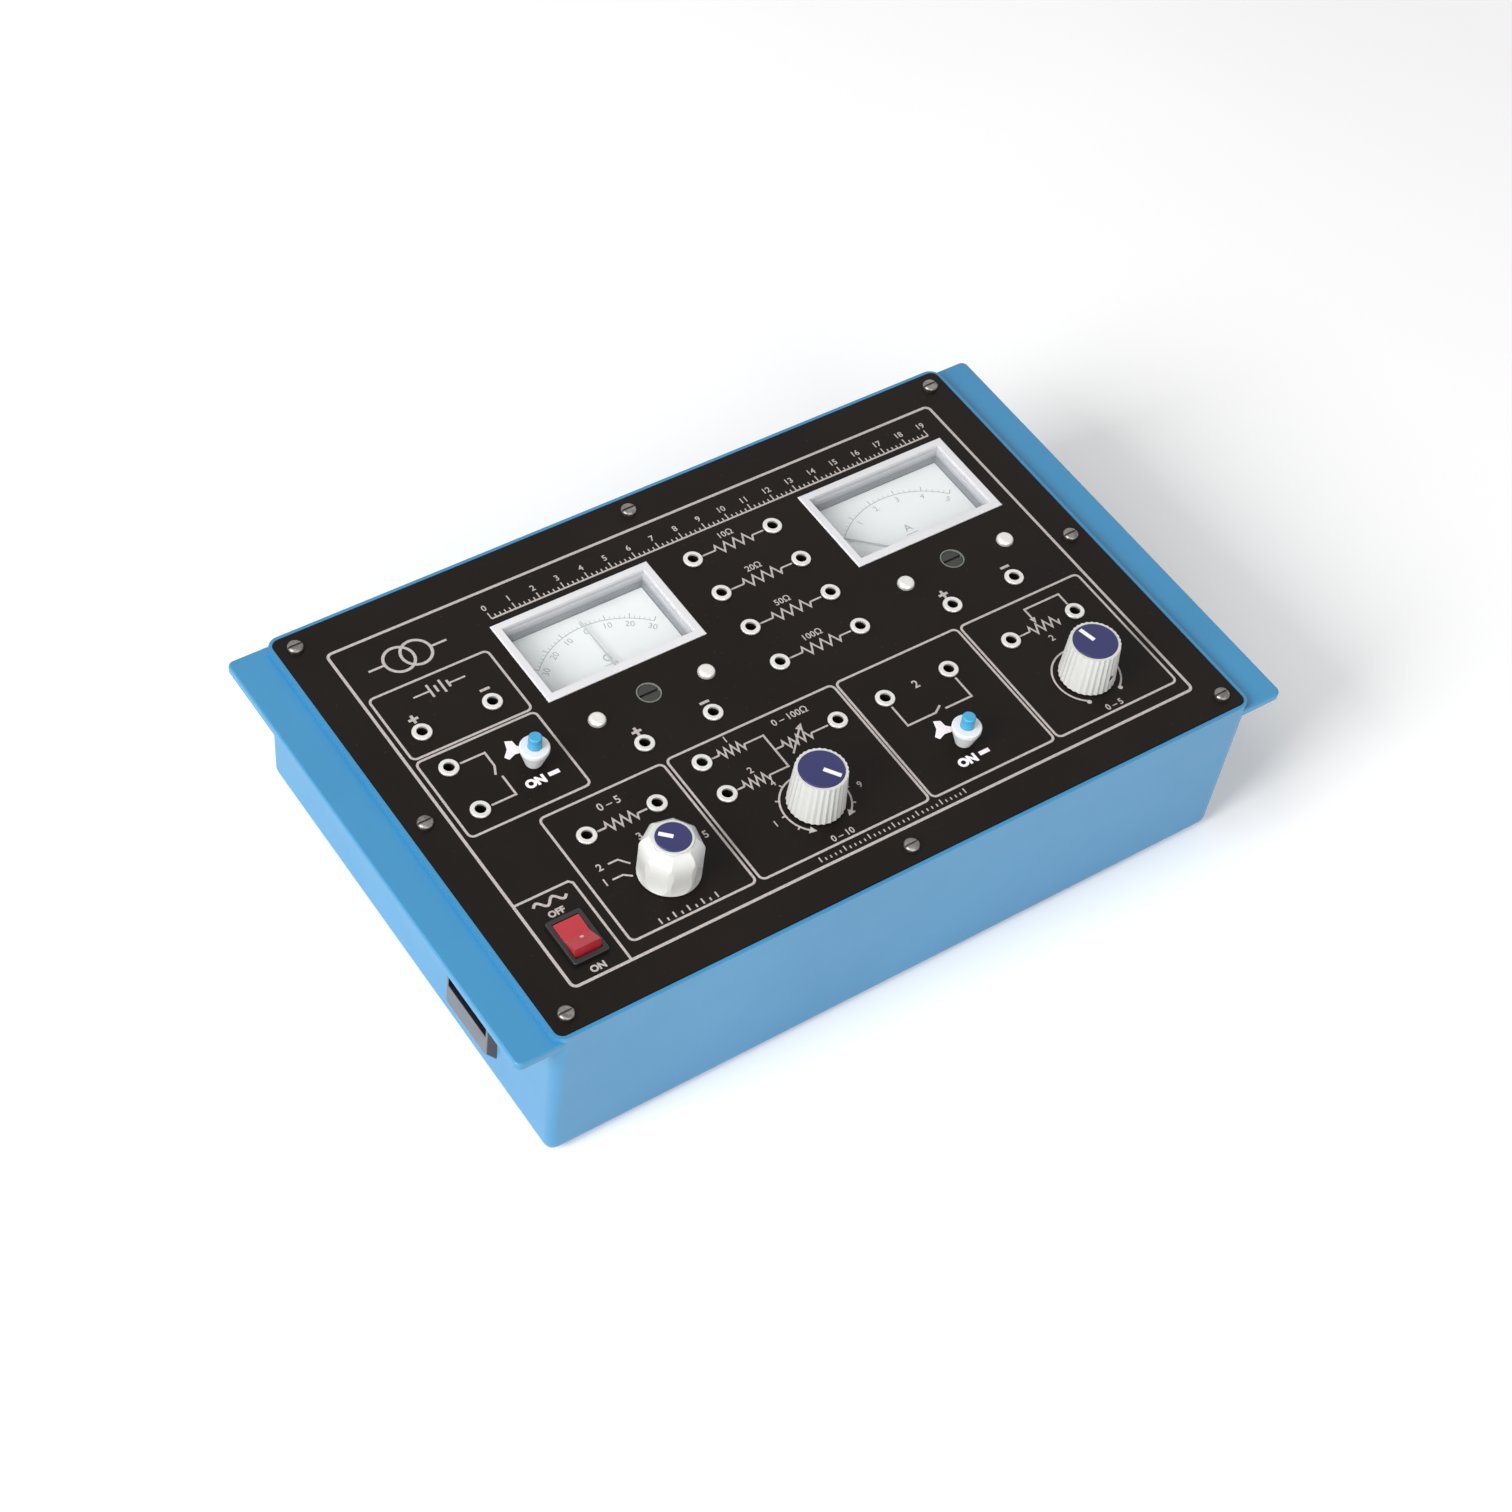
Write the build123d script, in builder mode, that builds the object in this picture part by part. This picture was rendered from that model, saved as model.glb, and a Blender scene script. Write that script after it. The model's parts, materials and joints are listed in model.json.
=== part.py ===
"""Galvanometer conversion apparatus: a teaching instrument in a moulded tub.

A black panel carries two moving coil meters, banana sockets, three knobs, two
push keys and a rocker switch. The tub below it holds the supply and the parts
behind the panel. Lengths are millimetres. The origin is at the centre of the
underside, +X runs along the long side, +Y to the back and +Z up.
"""
from build123d import *
import math
import os

os.makedirs("parts", exist_ok=True)

# Panel and tub
panel_width = 285.0
panel_depth = 189.0
panel_thickness = 2.4
panel_corner_radius = 3.0
panel_top = 70.0
panel_play = 0.15
rim_width = 1.4
rim_drop = 0.4
wall_thickness = 3.0
floor_thickness = 3.0
tub_corner_radius = 5.0
tub_bottom_radius = 5.0
draft_angle = 1.4

# Flanges that run along both short sides as grips
flange_reach = 14.5
flange_drop = 2.8
flange_thickness = 3.5
flange_corner_radius = 2.5
flange_top_radius = 0.8
flange_bottom_radius = 0.8
flange_end_inset = 0.2
gusset_radius = 4.5

# Screws that hold the panel to the tub
screw_inset = 6.5
screw_radius = 1.45
screw_hole_play = 0.15
screw_head_radius = 2.9
screw_head_height = 1.8
screw_length = 12.0
screw_slot_width = 0.8
screw_slot_depth = 0.7
boss_radius = 4.5
boss_pilot_play = 0.05

# Banana sockets
socket_bore_radius = 2.0
socket_bore_depth = 15.0
socket_flange_radius = 3.6
socket_flange_height = 1.0
socket_edge_radius = 0.45
socket_barrel_radius = 3.0
socket_end_wall = 1.2
socket_hole_play = 0.1
socket_nut_flats = 8.0
socket_nut_height = 2.6
tag_thickness = 0.6
tag_radius = 4.2
tag_tail_length = 9.0
tag_tail_width = 2.4

# Socket places on the panel, measured from its centre, but for the left column
left_column_margin = 25.3
supply_socket_row = 34.3
supply_negative_column = -89.5
key_1_socket_rows = (16.5, -4.0)
resistor_columns = (7.3, 41.8)
resistor_rows = (56.6, 38.1, 19.6, 1.1)
meter_socket_row = -6.7
galvanometer_socket_columns = (-54.0, -26.0)
ammeter_socket_columns = (77.0, 104.8)
lower_socket_row = -30.7
shunt_socket_columns = (-92.3, -64.5)
potentiometer_input_column = -41.7
potentiometer_input_rows = (-23.5, -39.0)
potentiometer_output_column = 9.8
key_2_socket_columns = (30.0, 57.6)
rheostat_socket_columns = (85.3, 114.2)

# Meters
galvanometer_centre = -40.2
ammeter_centre = 90.7
window_row = 44.5
window_width = 65.0
window_depth = 39.4
window_rim = 3.6
window_rise = 0.4
window_play = 0.15
cover_margin = 1.6
cover_flange = 2.0
cover_front_edge = 3.0
cover_rim_radius = 0.5
pane_thickness = 1.2
pane_drop = 1.0
pane_ledge = 0.6
pane_play = 0.1
dial_drop = 8.0
dial_thickness = 0.5
dial_play = 0.25
dial_front_edge = 27.0
base_depth = 30.0
base_floor = 2.0
base_front_wall = 2.2
dial_post_radius = 2.5
dial_post_offset = 24.5

# Moving coil movement, one in each meter
pivot_row = 20.5
pivot_radius = 0.6
pivot_play = 0.05
pivot_engagement = 1.2
pivot_end_play = 0.2
bearing_boss_radius = 2.2
bearing_boss_height = 2.0
ring_outer_radius = 13.0
ring_inner_radius = 8.2
ring_height = 20.0
core_radius = 5.4
core_height = 10.0
core_gap_below = 8.5
core_web_width = 4.0
coil_bar = 1.0
coil_gap = 0.45
coil_width = 3.0
needle_length = 35.5
needle_tail = 5.0
needle_width = 0.9
needle_tip_width = 0.35
needle_thickness = 0.4
needle_lift = 1.3
needle_hub_radius = 1.6
galvanometer_needle_angle = 0.0
ammeter_needle_angle = 47.0

# Zero adjusting screws and the screws that hold the meters
zero_row = 12.0
zero_collar_radius = 4.5
zero_collar_hole_play = 0.2
zero_head_radius = 3.95
zero_head_play = 0.1
zero_head_height = 1.6
zero_collar_drop = 0.1
zero_head_drop = 0.5
zero_stem_radius = 1.2
zero_stem_play = 0.05
zero_stem_length = 4.0
zero_slot_width = 1.0
zero_slot_depth = 0.8
meter_screw_offset = 22.4
meter_screw_row = 9.9
meter_screw_radius = 1.5
meter_screw_head_radius = 3.25
meter_screw_head_height = 1.9
terminal_offset = 18.0
terminal_row = 44.5
terminal_radius = 2.0
terminal_length = 12.0
terminal_inside = 1.0
terminal_nut_flats = 7.0
terminal_nut_height = 3.2

# Knobs and the controls that they turn
control_row = -56.4
shunt_column = -76.5
potentiometer_column = -17.3
rheostat_column = 99.6
shunt_pointer_angle = 136.7
potentiometer_pointer_angle = -54.7
rheostat_pointer_angle = 104.0
knob_lift = 0.5
knob_height = 17.0
knob_base_radius = 10.3
knob_top_radius = 9.25
knob_flutes = 30
knob_flute_depth = 0.3
knob_cap_radius = 8.0
knob_cap_thickness = 1.4
knob_cap_inset = 1.0
knob_cap_play = 0.1
knob_cavity_radius = 8.3
knob_cavity_height = 4.4
faceted_knob_height = 17.8
faceted_knob_radius = 10.9
faceted_knob_facets = 8
faceted_knob_facet_turn = 9.4
faceted_knob_base_corner = 11.75
faceted_knob_waist_corner = 11.3
faceted_knob_waist = 9.0
faceted_knob_shoulder_corner = 10.8
faceted_knob_shoulder = 13.6
faceted_knob_top_corner = 7.9
faceted_knob_rim_radius = 7.0
faceted_knob_rim_height = 0.5
faceted_cap_radius = 6.1
grub_screw_radius = 1.1
grub_screw_level = 6.2
grub_screw_inset = 0.6
shaft_radius = 3.0
shaft_play = 0.05
shaft_reach = 14.0
bush_radius = 4.6
bush_height = 4.6
bush_hole_play = 0.15
control_nut_flats = 12.0
control_nut_height = 2.2
control_nut_play = 0.05
control_case_radius = 12.0
control_case_height = 11.0
control_case_wall = 1.2
wiper_radius = 9.4
wiper_thickness = 1.4
wiper_gap = 2.6
stop_inner_radius = 8.0
wiper_relief_radius = 7.6
lug_half_angle = 10.0
pot_stop_half_angle = 14.0
shunt_stop_half_angle = 85.0
stop_centre_angle = -90.0
shunt_stop_centre_angle = -88.0
track_height = 0.8
track_width = 2.0
track_gap = 0.3
shaft_end_play = 0.3

# Push keys
key_1_place = (-91.0, 5.0)
key_2_place = (42.8, -59.7)
key_collar_base_radius = 3.0
key_collar_top_radius = 5.3
key_collar_height = 8.5
key_collar_band = 1.6
key_button_radius = 2.4
key_button_play = 0.1
key_button_rise = 5.0
key_button_edge = 0.6
key_travel = 2.0
key_stem_radius = 1.5
key_stem_play = 0.05
key_bush_radius = 2.5
key_bush_height = 2.0
key_bush_hole_play = 0.1
key_bush_clear = 0.5
key_case_size = 12.0
key_case_height = 15.0
key_case_wall = 1.5
key_foot_radius = 2.6
key_foot_height = 2.0
key_foot_gap = 0.2

# Rocker switch
rocker_row = -64.5
rocker_bezel_width = 13.6
rocker_bezel_length = 19.0
rocker_bezel_height = 1.5
rocker_bezel_radius = 1.0
rocker_body_width = 11.8
rocker_body_length = 17.4
rocker_body_depth = 16.0
rocker_body_play = 0.15
rocker_opening_width = 10.3
rocker_opening_length = 15.4
rocker_body_floor = 2.0
rocker_width = 9.9
rocker_half_length = 6.8
rocker_end_height = 2.8
rocker_middle_height = 1.1
rocker_side_depth = 2.0
rocker_bottom_depth = 5.0
rocker_bottom_half_length = 3.5
rocker_pivot_rise = 0.2
rocker_pin_radius = 0.9
rocker_pin_play = 0.05
rocker_pin_length = 0.6
rocker_tilt = 11.0
switch_tag_width = 4.8
switch_tag_thickness = 0.8
switch_tag_length = 8.0
switch_tag_pitch = 7.0
key_tag_width = 2.6

# Mains inlet, pushed into the left wall from outside
inlet_row = -45.4
inlet_level = 29.5
inlet_base_length = 30.7
inlet_base_height = 32.0
inlet_base_corner = 2.0
inlet_base_play = 0.15
inlet_face_length = 25.9
inlet_face_height = 27.2
inlet_face_corner = 1.2
inlet_rise = 2.8
inlet_body_length = 27.0
inlet_body_height = 28.4
inlet_body_play = 0.3
inlet_recess_length = 24.2
inlet_recess_height = 16.4
inlet_recess_rise = 4.0
inlet_recess_depth = 15.5
inlet_recess_chamfer = 4.0
inlet_back_wall = 2.0
inlet_clip_reach = 1.6
inlet_clip_length = 5.0
inlet_clip_height = 8.0
inlet_clip_gap = 0.1
inlet_pin_spacing = 7.0
inlet_pin_rise = 2.0
inlet_pin_drop = 2.0
inlet_pin_width = 2.0
inlet_pin_height = 4.0
inlet_pin_reach = 10.8
inlet_tag_length = 8.0

# Mains transformer, supply board and the resistors behind the panel
transformer_side_margin = 22.5
transformer_back_margin = 42.0
transformer_post_height = 3.0
transformer_post_spacing = 60.0
transformer_post_radius = 4.5
transformer_frame_length = 70.0
transformer_frame_width = 16.0
transformer_frame_thickness = 1.5
core_length = 48.0
core_stack = 20.0
core_rise = 38.0
core_limb = 8.0
core_middle_limb = 14.0
winding_overhang = 9.0
winding_play = 0.3
inner_screw_radius = 1.5
inner_screw_head_radius = 2.8
inner_screw_head_height = 2.0
inner_screw_length = 5.0
board_side_margin = 48.5
board_back_margin = 100.5
board_length = 66.0
board_width = 44.0
board_thickness = 1.6
board_post_height = 6.0
board_post_inset = 4.0
board_post_radius = 3.0
capacitor_radius = 8.0
capacitor_height = 24.0
capacitor_offset = (-18.0, 4.0)
diode_radius = 1.4
diode_length = 5.2
diode_lead_radius = 0.4
diode_lead_span = 10.0
diode_foot_width = 1.2
diode_foot_height = 2.0
diode_pitch = 6.0
diode_offset = (12.0, -8.0)
resistor_radius = 1.9
resistor_length = 11.0
resistor_lead_radius = 0.4
resistor_tail_place = 6.5

# Sizes that follow from the ones above
panel_bottom = panel_top - panel_thickness
rim_top = panel_top - rim_drop
tub_width = panel_width + 2 * (panel_play + rim_width)
tub_depth = panel_depth + 2 * (panel_play + rim_width)
overall_width = tub_width + 2 * flange_reach
flange_top = panel_top - flange_drop
flange_bottom = flange_top - flange_thickness
draft_slope = math.tan(math.radians(draft_angle))
cavity_floor = floor_thickness
cover_bottom = panel_bottom - cover_flange
dial_top = panel_top - dial_drop
dial_bottom = dial_top - dial_thickness
base_bottom = cover_bottom - base_depth
base_inside = base_bottom + base_floor
inner_width = window_width - 2 * window_rim
inner_back = window_row + window_depth / 2 - window_rim
window_back = window_row + window_depth / 2
needle_bottom = dial_top + needle_lift
needle_top = needle_bottom + needle_thickness
core_bottom = base_inside + core_gap_below
core_top = core_bottom + core_height
control_case_top = panel_bottom
control_case_bottom = control_case_top - control_case_height
bush_top = panel_top + bush_height
socket_bottom = panel_top + socket_flange_height - socket_bore_depth - socket_end_wall
tag_top = panel_bottom - socket_nut_height
board_bottom = cavity_floor + board_post_height
board_top = board_bottom + board_thickness
transformer_seat = cavity_floor + transformer_post_height
rocker_pivot_level = panel_top + rocker_pivot_rise
left_column = left_column_margin - panel_width / 2
rocker_place = (left_column, rocker_row)
transformer_place = (
    transformer_side_margin - panel_width / 2,
    panel_depth / 2 - transformer_back_margin,
)
board_place = (board_side_margin - panel_width / 2, panel_depth / 2 - board_back_margin)
inlet_body_reach = inlet_recess_depth - inlet_rise + inlet_back_wall

UPRIGHT = (Align.CENTER, Align.CENTER, Align.MIN)
HANGING = (Align.CENTER, Align.CENTER, Align.MAX)


def save(piece, label):
    """Label a finished piece and write it under that name."""
    piece.part.label = label
    export_step(piece.part, f"parts/{label}.step")


def row_places(columns, row):
    """Places in one row, one for each column."""
    return [(column, row) for column in columns]


def on_circle(centre, radius, angle):
    """The point of a circle at an angle in degrees from +X."""
    turn = math.radians(angle)
    return (centre[0] + radius * math.cos(turn), centre[1] + radius * math.sin(turn))


def hex_radius(flats):
    """Corner radius of a hexagon from its width across flats."""
    return flats / math.sqrt(3)


def wall_outside(level):
    """Distance from the centre to the drafted side wall's outside at a level."""
    return tub_width / 2 - (rim_top - level) * draft_slope


inlet_seat = wall_outside(inlet_level - inlet_base_height / 2)
panel_screw_places = [
    (x * (panel_width / 2 - screw_inset), y * (panel_depth / 2 - screw_inset))
    for x in (-1, 0, 1)
    for y in (-1, 0, 1)
    if (x, y) != (0, 0)
]
all_sockets = (
    row_places((left_column, supply_negative_column), supply_socket_row)
    + [(left_column, row) for row in key_1_socket_rows]
    + [(column, row) for row in resistor_rows for column in resistor_columns]
    + row_places(galvanometer_socket_columns, meter_socket_row)
    + row_places(ammeter_socket_columns, meter_socket_row)
    + row_places(shunt_socket_columns, lower_socket_row)
    + [(potentiometer_input_column, row) for row in potentiometer_input_rows]
    + [(potentiometer_output_column, lower_socket_row)]
    + row_places(key_2_socket_columns, lower_socket_row)
    + row_places(rheostat_socket_columns, lower_socket_row)
)
meter_centres = (galvanometer_centre, ammeter_centre)
meter_screw_places = [
    (centre + side * meter_screw_offset, meter_screw_row)
    for centre in meter_centres
    for side in (-1, 1)
]
control_columns = (shunt_column, potentiometer_column, rheostat_column)
control_places = row_places(control_columns, control_row)
key_places = (key_1_place, key_2_place)
board_post_places = [
    (
        board_place[0] + x * (board_length / 2 - board_post_inset),
        board_place[1] + y * (board_width / 2 - board_post_inset),
    )
    for x in (-1, 1)
    for y in (-1, 1)
]
transformer_post_places = [
    (transformer_place[0], transformer_place[1] + y * transformer_post_spacing / 2)
    for y in (-1, 1)
]


def enclosure_tub():
    """Drafted tub with a rim round the panel, side flanges, bosses and posts."""
    with BuildPart() as tub:
        with BuildSketch(Plane.XY.offset(flange_bottom)):
            RectangleRounded(overall_width, tub_depth - 2 * flange_end_inset, flange_corner_radius)
        extrude(amount=flange_thickness)
        fillet(tub.edges().group_by(Axis.Z)[-1], flange_top_radius)
        fillet(tub.edges().group_by(Axis.Z)[0], flange_bottom_radius)
        with BuildSketch(Plane.XY.offset(rim_top)):
            RectangleRounded(tub_width, tub_depth, tub_corner_radius)
        extrude(amount=-rim_top, taper=draft_angle)
        fillet(tub.edges().group_by(Axis.Z)[0], tub_bottom_radius)
        gusset_inside = wall_outside(flange_bottom) - wall_thickness / 2
        gusset_corner = wall_outside(flange_bottom) + gusset_radius
        for side in (-1, 1):
            with BuildSketch(Plane.XZ) as gusset:
                with BuildLine():
                    Polyline(
                        (side * gusset_corner, flange_bottom),
                        (side * gusset_corner, flange_bottom + flange_thickness / 2),
                        (side * gusset_inside, flange_bottom + flange_thickness / 2),
                        (side * gusset_inside, flange_bottom - gusset_radius),
                        (side * (gusset_corner - gusset_radius), flange_bottom - gusset_radius),
                    )
                    RadiusArc(
                        (side * (gusset_corner - gusset_radius), flange_bottom - gusset_radius),
                        (side * gusset_corner, flange_bottom),
                        side * gusset_radius,
                    )
                make_face()
            extrude(amount=tub_depth / 2 - tub_corner_radius / 2, both=True)
        with BuildSketch(Plane.XY.offset(panel_bottom)):
            RectangleRounded(
                panel_width + 2 * panel_play,
                panel_depth + 2 * panel_play,
                panel_corner_radius + panel_play,
            )
        extrude(amount=rim_drop + panel_thickness, mode=Mode.SUBTRACT)
        with BuildSketch(Plane.XY.offset(panel_bottom)):
            RectangleRounded(
                tub_width - 2 * wall_thickness,
                tub_depth - 2 * wall_thickness,
                tub_corner_radius - wall_thickness / 2,
            )
        extrude(amount=cavity_floor - panel_bottom, taper=draft_angle, mode=Mode.SUBTRACT)
        boss_root = cavity_floor - floor_thickness / 2
        for place in panel_screw_places:
            with Locations((*place, boss_root)):
                Cylinder(boss_radius, panel_bottom - boss_root, align=UPRIGHT)
        for place in board_post_places:
            with Locations((*place, boss_root)):
                Cylinder(board_post_radius, board_bottom - boss_root, align=UPRIGHT)
        for place in transformer_post_places:
            with Locations((*place, boss_root)):
                Cylinder(transformer_post_radius, transformer_seat - boss_root, align=UPRIGHT)
        for place in panel_screw_places:
            with Locations((*place, panel_bottom)):
                Cylinder(
                    screw_radius + boss_pilot_play,
                    screw_length,
                    align=HANGING,
                    mode=Mode.SUBTRACT,
                )
        for place in board_post_places:
            with Locations((*place, board_bottom)):
                Cylinder(inner_screw_radius, inner_screw_length, align=HANGING, mode=Mode.SUBTRACT)
        for place in transformer_post_places:
            with Locations((*place, transformer_seat)):
                Cylinder(inner_screw_radius, inner_screw_length, align=HANGING, mode=Mode.SUBTRACT)
        with Locations((-inlet_seat, inlet_row, inlet_level)):
            Box(
                4 * wall_thickness,
                inlet_body_length + 2 * inlet_body_play,
                inlet_body_height + 2 * inlet_body_play,
                mode=Mode.SUBTRACT,
            )
            Box(
                wall_thickness,
                inlet_base_length + 2 * inlet_base_play,
                inlet_base_height + 2 * inlet_base_play,
                align=(Align.MAX, Align.CENTER, Align.CENTER),
                mode=Mode.SUBTRACT,
            )
    save(tub, "enclosure_tub")


def front_panel():
    """Flat black panel with every hole that the controls and sockets need."""
    with BuildPart() as panel:
        with BuildSketch(Plane.XY.offset(panel_bottom)):
            RectangleRounded(panel_width, panel_depth, panel_corner_radius)
            with Locations(*panel_screw_places):
                Circle(screw_radius + screw_hole_play, mode=Mode.SUBTRACT)
            with Locations(*all_sockets):
                Circle(socket_barrel_radius + socket_hole_play, mode=Mode.SUBTRACT)
            with Locations(*row_places(meter_centres, window_row)):
                Rectangle(
                    window_width + 2 * window_play,
                    window_depth + 2 * window_play,
                    mode=Mode.SUBTRACT,
                )
            with Locations(*row_places(meter_centres, zero_row)):
                Circle(zero_collar_radius + zero_collar_hole_play, mode=Mode.SUBTRACT)
            with Locations(*meter_screw_places):
                Circle(meter_screw_radius + screw_hole_play, mode=Mode.SUBTRACT)
            with Locations(*control_places):
                Circle(bush_radius + bush_hole_play, mode=Mode.SUBTRACT)
            with Locations(*key_places):
                Circle(key_bush_radius + key_bush_hole_play, mode=Mode.SUBTRACT)
            with Locations(rocker_place):
                Rectangle(
                    rocker_body_width + 2 * rocker_body_play,
                    rocker_body_length + 2 * rocker_body_play,
                    mode=Mode.SUBTRACT,
                )
        extrude(amount=panel_thickness)
    save(panel, "front_panel")


def panel_screws():
    """Eight pan head screws with a straight slot."""
    with BuildPart() as screws:
        for place in panel_screw_places:
            with Locations((*place, panel_top)):
                Cylinder(screw_head_radius, screw_head_height, align=UPRIGHT)
        top_edges = screws.edges().filter_by(GeomType.CIRCLE).group_by(Axis.Z)[-1]
        fillet(top_edges, screw_head_height * 0.6)
        for place in panel_screw_places:
            with Locations((*place, panel_top)):
                Cylinder(screw_radius, screw_length, align=HANGING)
            with Locations((*place, panel_top + screw_head_height)):
                Box(
                    2 * screw_head_radius,
                    screw_slot_width,
                    2 * screw_slot_depth,
                    mode=Mode.SUBTRACT,
                )
    save(screws, "panel_screws")


def banana_sockets():
    """Banana sockets: a rounded ring on the panel over a threaded barrel."""
    ring_top = panel_top + socket_flange_height
    with BuildPart() as sockets:
        for place in all_sockets:
            with Locations((*place, panel_top)):
                Cylinder(socket_flange_radius, socket_flange_height, align=UPRIGHT)
        fillet(sockets.edges().filter_by(GeomType.CIRCLE).group_by(Axis.Z)[-1], socket_edge_radius)
        for place in all_sockets:
            with Locations((*place, socket_bottom)):
                Cylinder(socket_barrel_radius, panel_top - socket_bottom, align=UPRIGHT)
            with Locations((*place, ring_top)):
                Cylinder(
                    socket_bore_radius,
                    socket_bore_depth,
                    align=HANGING,
                    mode=Mode.SUBTRACT,
                )
    save(sockets, "banana_sockets")


def socket_nuts():
    """Hexagon nuts that clamp the sockets under the panel."""
    with BuildPart() as nuts:
        with BuildSketch(Plane.XY.offset(panel_bottom)):
            with Locations(*all_sockets):
                RegularPolygon(hex_radius(socket_nut_flats), 6)
                Circle(socket_barrel_radius, mode=Mode.SUBTRACT)
        extrude(amount=-socket_nut_height)
    save(nuts, "socket_nuts")


def socket_tags():
    """Solder tags under the nuts, with tails that point to the front."""
    with BuildPart() as tags:
        with BuildSketch(Plane.XY.offset(tag_top)):
            with Locations(*all_sockets):
                Circle(tag_radius)
                Rectangle(tag_tail_width, tag_tail_length, align=(Align.CENTER, Align.MAX))
                Circle(socket_barrel_radius, mode=Mode.SUBTRACT)
        extrude(amount=-tag_thickness)
    save(tags, "socket_tags")


def fixed_resistors():
    """Four leaded resistors between the tag tails of the socket pairs."""
    lead_level = tag_top - tag_thickness - resistor_lead_radius
    middle = (resistor_columns[0] + resistor_columns[1]) / 2
    span = resistor_columns[1] - resistor_columns[0]
    with BuildPart() as resistors:
        for row in resistor_rows:
            with Locations((middle, row - resistor_tail_place, lead_level)):
                Cylinder(resistor_lead_radius, span, rotation=(0, 90, 0))
                Cylinder(resistor_radius, resistor_length, rotation=(0, 90, 0))
    save(resistors, "fixed_resistors")


def meter_cover(centre, label):
    """Raised window frame on a flange that lies under the panel."""
    flange_back = window_back + cover_margin
    flange_depth = flange_back - cover_front_edge
    with BuildPart() as cover:
        with BuildSketch(Plane.XY.offset(cover_bottom)):
            with Locations((centre, (flange_back + cover_front_edge) / 2)):
                Rectangle(window_width + 2 * cover_margin, flange_depth)
        extrude(amount=cover_flange)
        with BuildSketch(Plane.XY.offset(panel_bottom)):
            with Locations((centre, window_row)):
                Rectangle(window_width, window_depth)
        extrude(amount=panel_thickness + window_rise)
        fillet(cover.edges().group_by(Axis.Z)[-1], cover_rim_radius)
        with Locations((centre, zero_row, panel_bottom)):
            Cylinder(zero_collar_radius, panel_thickness - zero_collar_drop, align=UPRIGHT)
        with BuildSketch(Plane.XY.offset(cover_bottom)):
            with Locations((centre, window_row)):
                Rectangle(inner_width, window_depth - 2 * window_rim)
        extrude(amount=cover_flange + panel_thickness + window_rise, mode=Mode.SUBTRACT)
        pane_top = panel_top + window_rise - pane_drop
        with BuildSketch(Plane.XY.offset(pane_top - pane_thickness)):
            with Locations((centre, window_row)):
                Rectangle(
                    inner_width + 2 * pane_ledge,
                    window_depth - 2 * window_rim + 2 * pane_ledge,
                )
        extrude(amount=pane_thickness + pane_drop, mode=Mode.SUBTRACT)
        with Locations((centre, zero_row, cover_bottom)):
            Cylinder(
                zero_stem_radius + zero_stem_play,
                cover_flange,
                align=UPRIGHT,
                mode=Mode.SUBTRACT,
            )
        with Locations((centre, zero_row, panel_bottom)):
            Cylinder(
                zero_head_radius + zero_head_play,
                panel_thickness,
                align=UPRIGHT,
                mode=Mode.SUBTRACT,
            )
        for side in (-1, 1):
            with Locations((centre + side * meter_screw_offset, meter_screw_row, cover_bottom)):
                Cylinder(meter_screw_radius, cover_flange, align=UPRIGHT, mode=Mode.SUBTRACT)
        boss_bottom = needle_top + pivot_end_play
        with Locations((centre, pivot_row, boss_bottom)):
            Cylinder(bearing_boss_radius, cover_bottom - boss_bottom, align=UPRIGHT)
            Cylinder(
                pivot_radius + pivot_play,
                pivot_engagement + pivot_end_play,
                align=UPRIGHT,
                mode=Mode.SUBTRACT,
            )
    save(cover, label)


def meter_window(centre, label):
    """Clear pane that lies on the ledge inside the frame."""
    pane_top = panel_top + window_rise - pane_drop
    with BuildPart() as pane:
        with BuildSketch(Plane.XY.offset(pane_top - pane_thickness)):
            with Locations((centre, window_row)):
                Rectangle(
                    inner_width + 2 * (pane_ledge - pane_play),
                    window_depth - 2 * window_rim + 2 * (pane_ledge - pane_play),
                )
        extrude(amount=pane_thickness)
    save(pane, label)


def meter_base(centre, label):
    """Rear housing: a deep tray with posts for the dial and a lower bearing."""
    outer_depth = window_back - cover_front_edge
    cavity_front = cover_front_edge + base_front_wall
    with BuildPart() as base:
        with BuildSketch(Plane.XY.offset(base_bottom)):
            with Locations((centre, (window_back + cover_front_edge) / 2)):
                Rectangle(window_width, outer_depth)
        extrude(amount=base_depth)
        fillet(base.edges().filter_by(Axis.Z), base_front_wall)
        with BuildSketch(Plane.XY.offset(base_inside)):
            with Locations((centre, (inner_back + cavity_front) / 2)):
                Rectangle(inner_width, inner_back - cavity_front)
        extrude(amount=cover_bottom - base_inside, mode=Mode.SUBTRACT)
        for side in (-1, 1):
            with Locations((centre + side * dial_post_offset, window_row, base_inside)):
                Cylinder(dial_post_radius, dial_bottom - base_inside, align=UPRIGHT)
            with Locations((centre + side * terminal_offset, terminal_row, base_bottom)):
                Cylinder(terminal_radius, base_floor, align=UPRIGHT, mode=Mode.SUBTRACT)
        with Locations((centre, pivot_row, base_inside)):
            Cylinder(bearing_boss_radius, bearing_boss_height, align=UPRIGHT)
        with Locations((centre, pivot_row, base_inside + bearing_boss_height)):
            Cylinder(
                pivot_radius + pivot_play,
                pivot_engagement + pivot_end_play,
                align=HANGING,
                mode=Mode.SUBTRACT,
            )
    save(base, label)


def meter_dial(centre, label):
    """Flat scale plate on the two posts."""
    dial_back = inner_back - dial_play
    with BuildPart() as dial:
        with BuildSketch(Plane.XY.offset(dial_bottom)):
            with Locations((centre, (dial_back + dial_front_edge) / 2)):
                Rectangle(inner_width - 2 * dial_play, dial_back - dial_front_edge)
        extrude(amount=dial_thickness)
    save(dial, label)


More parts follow.
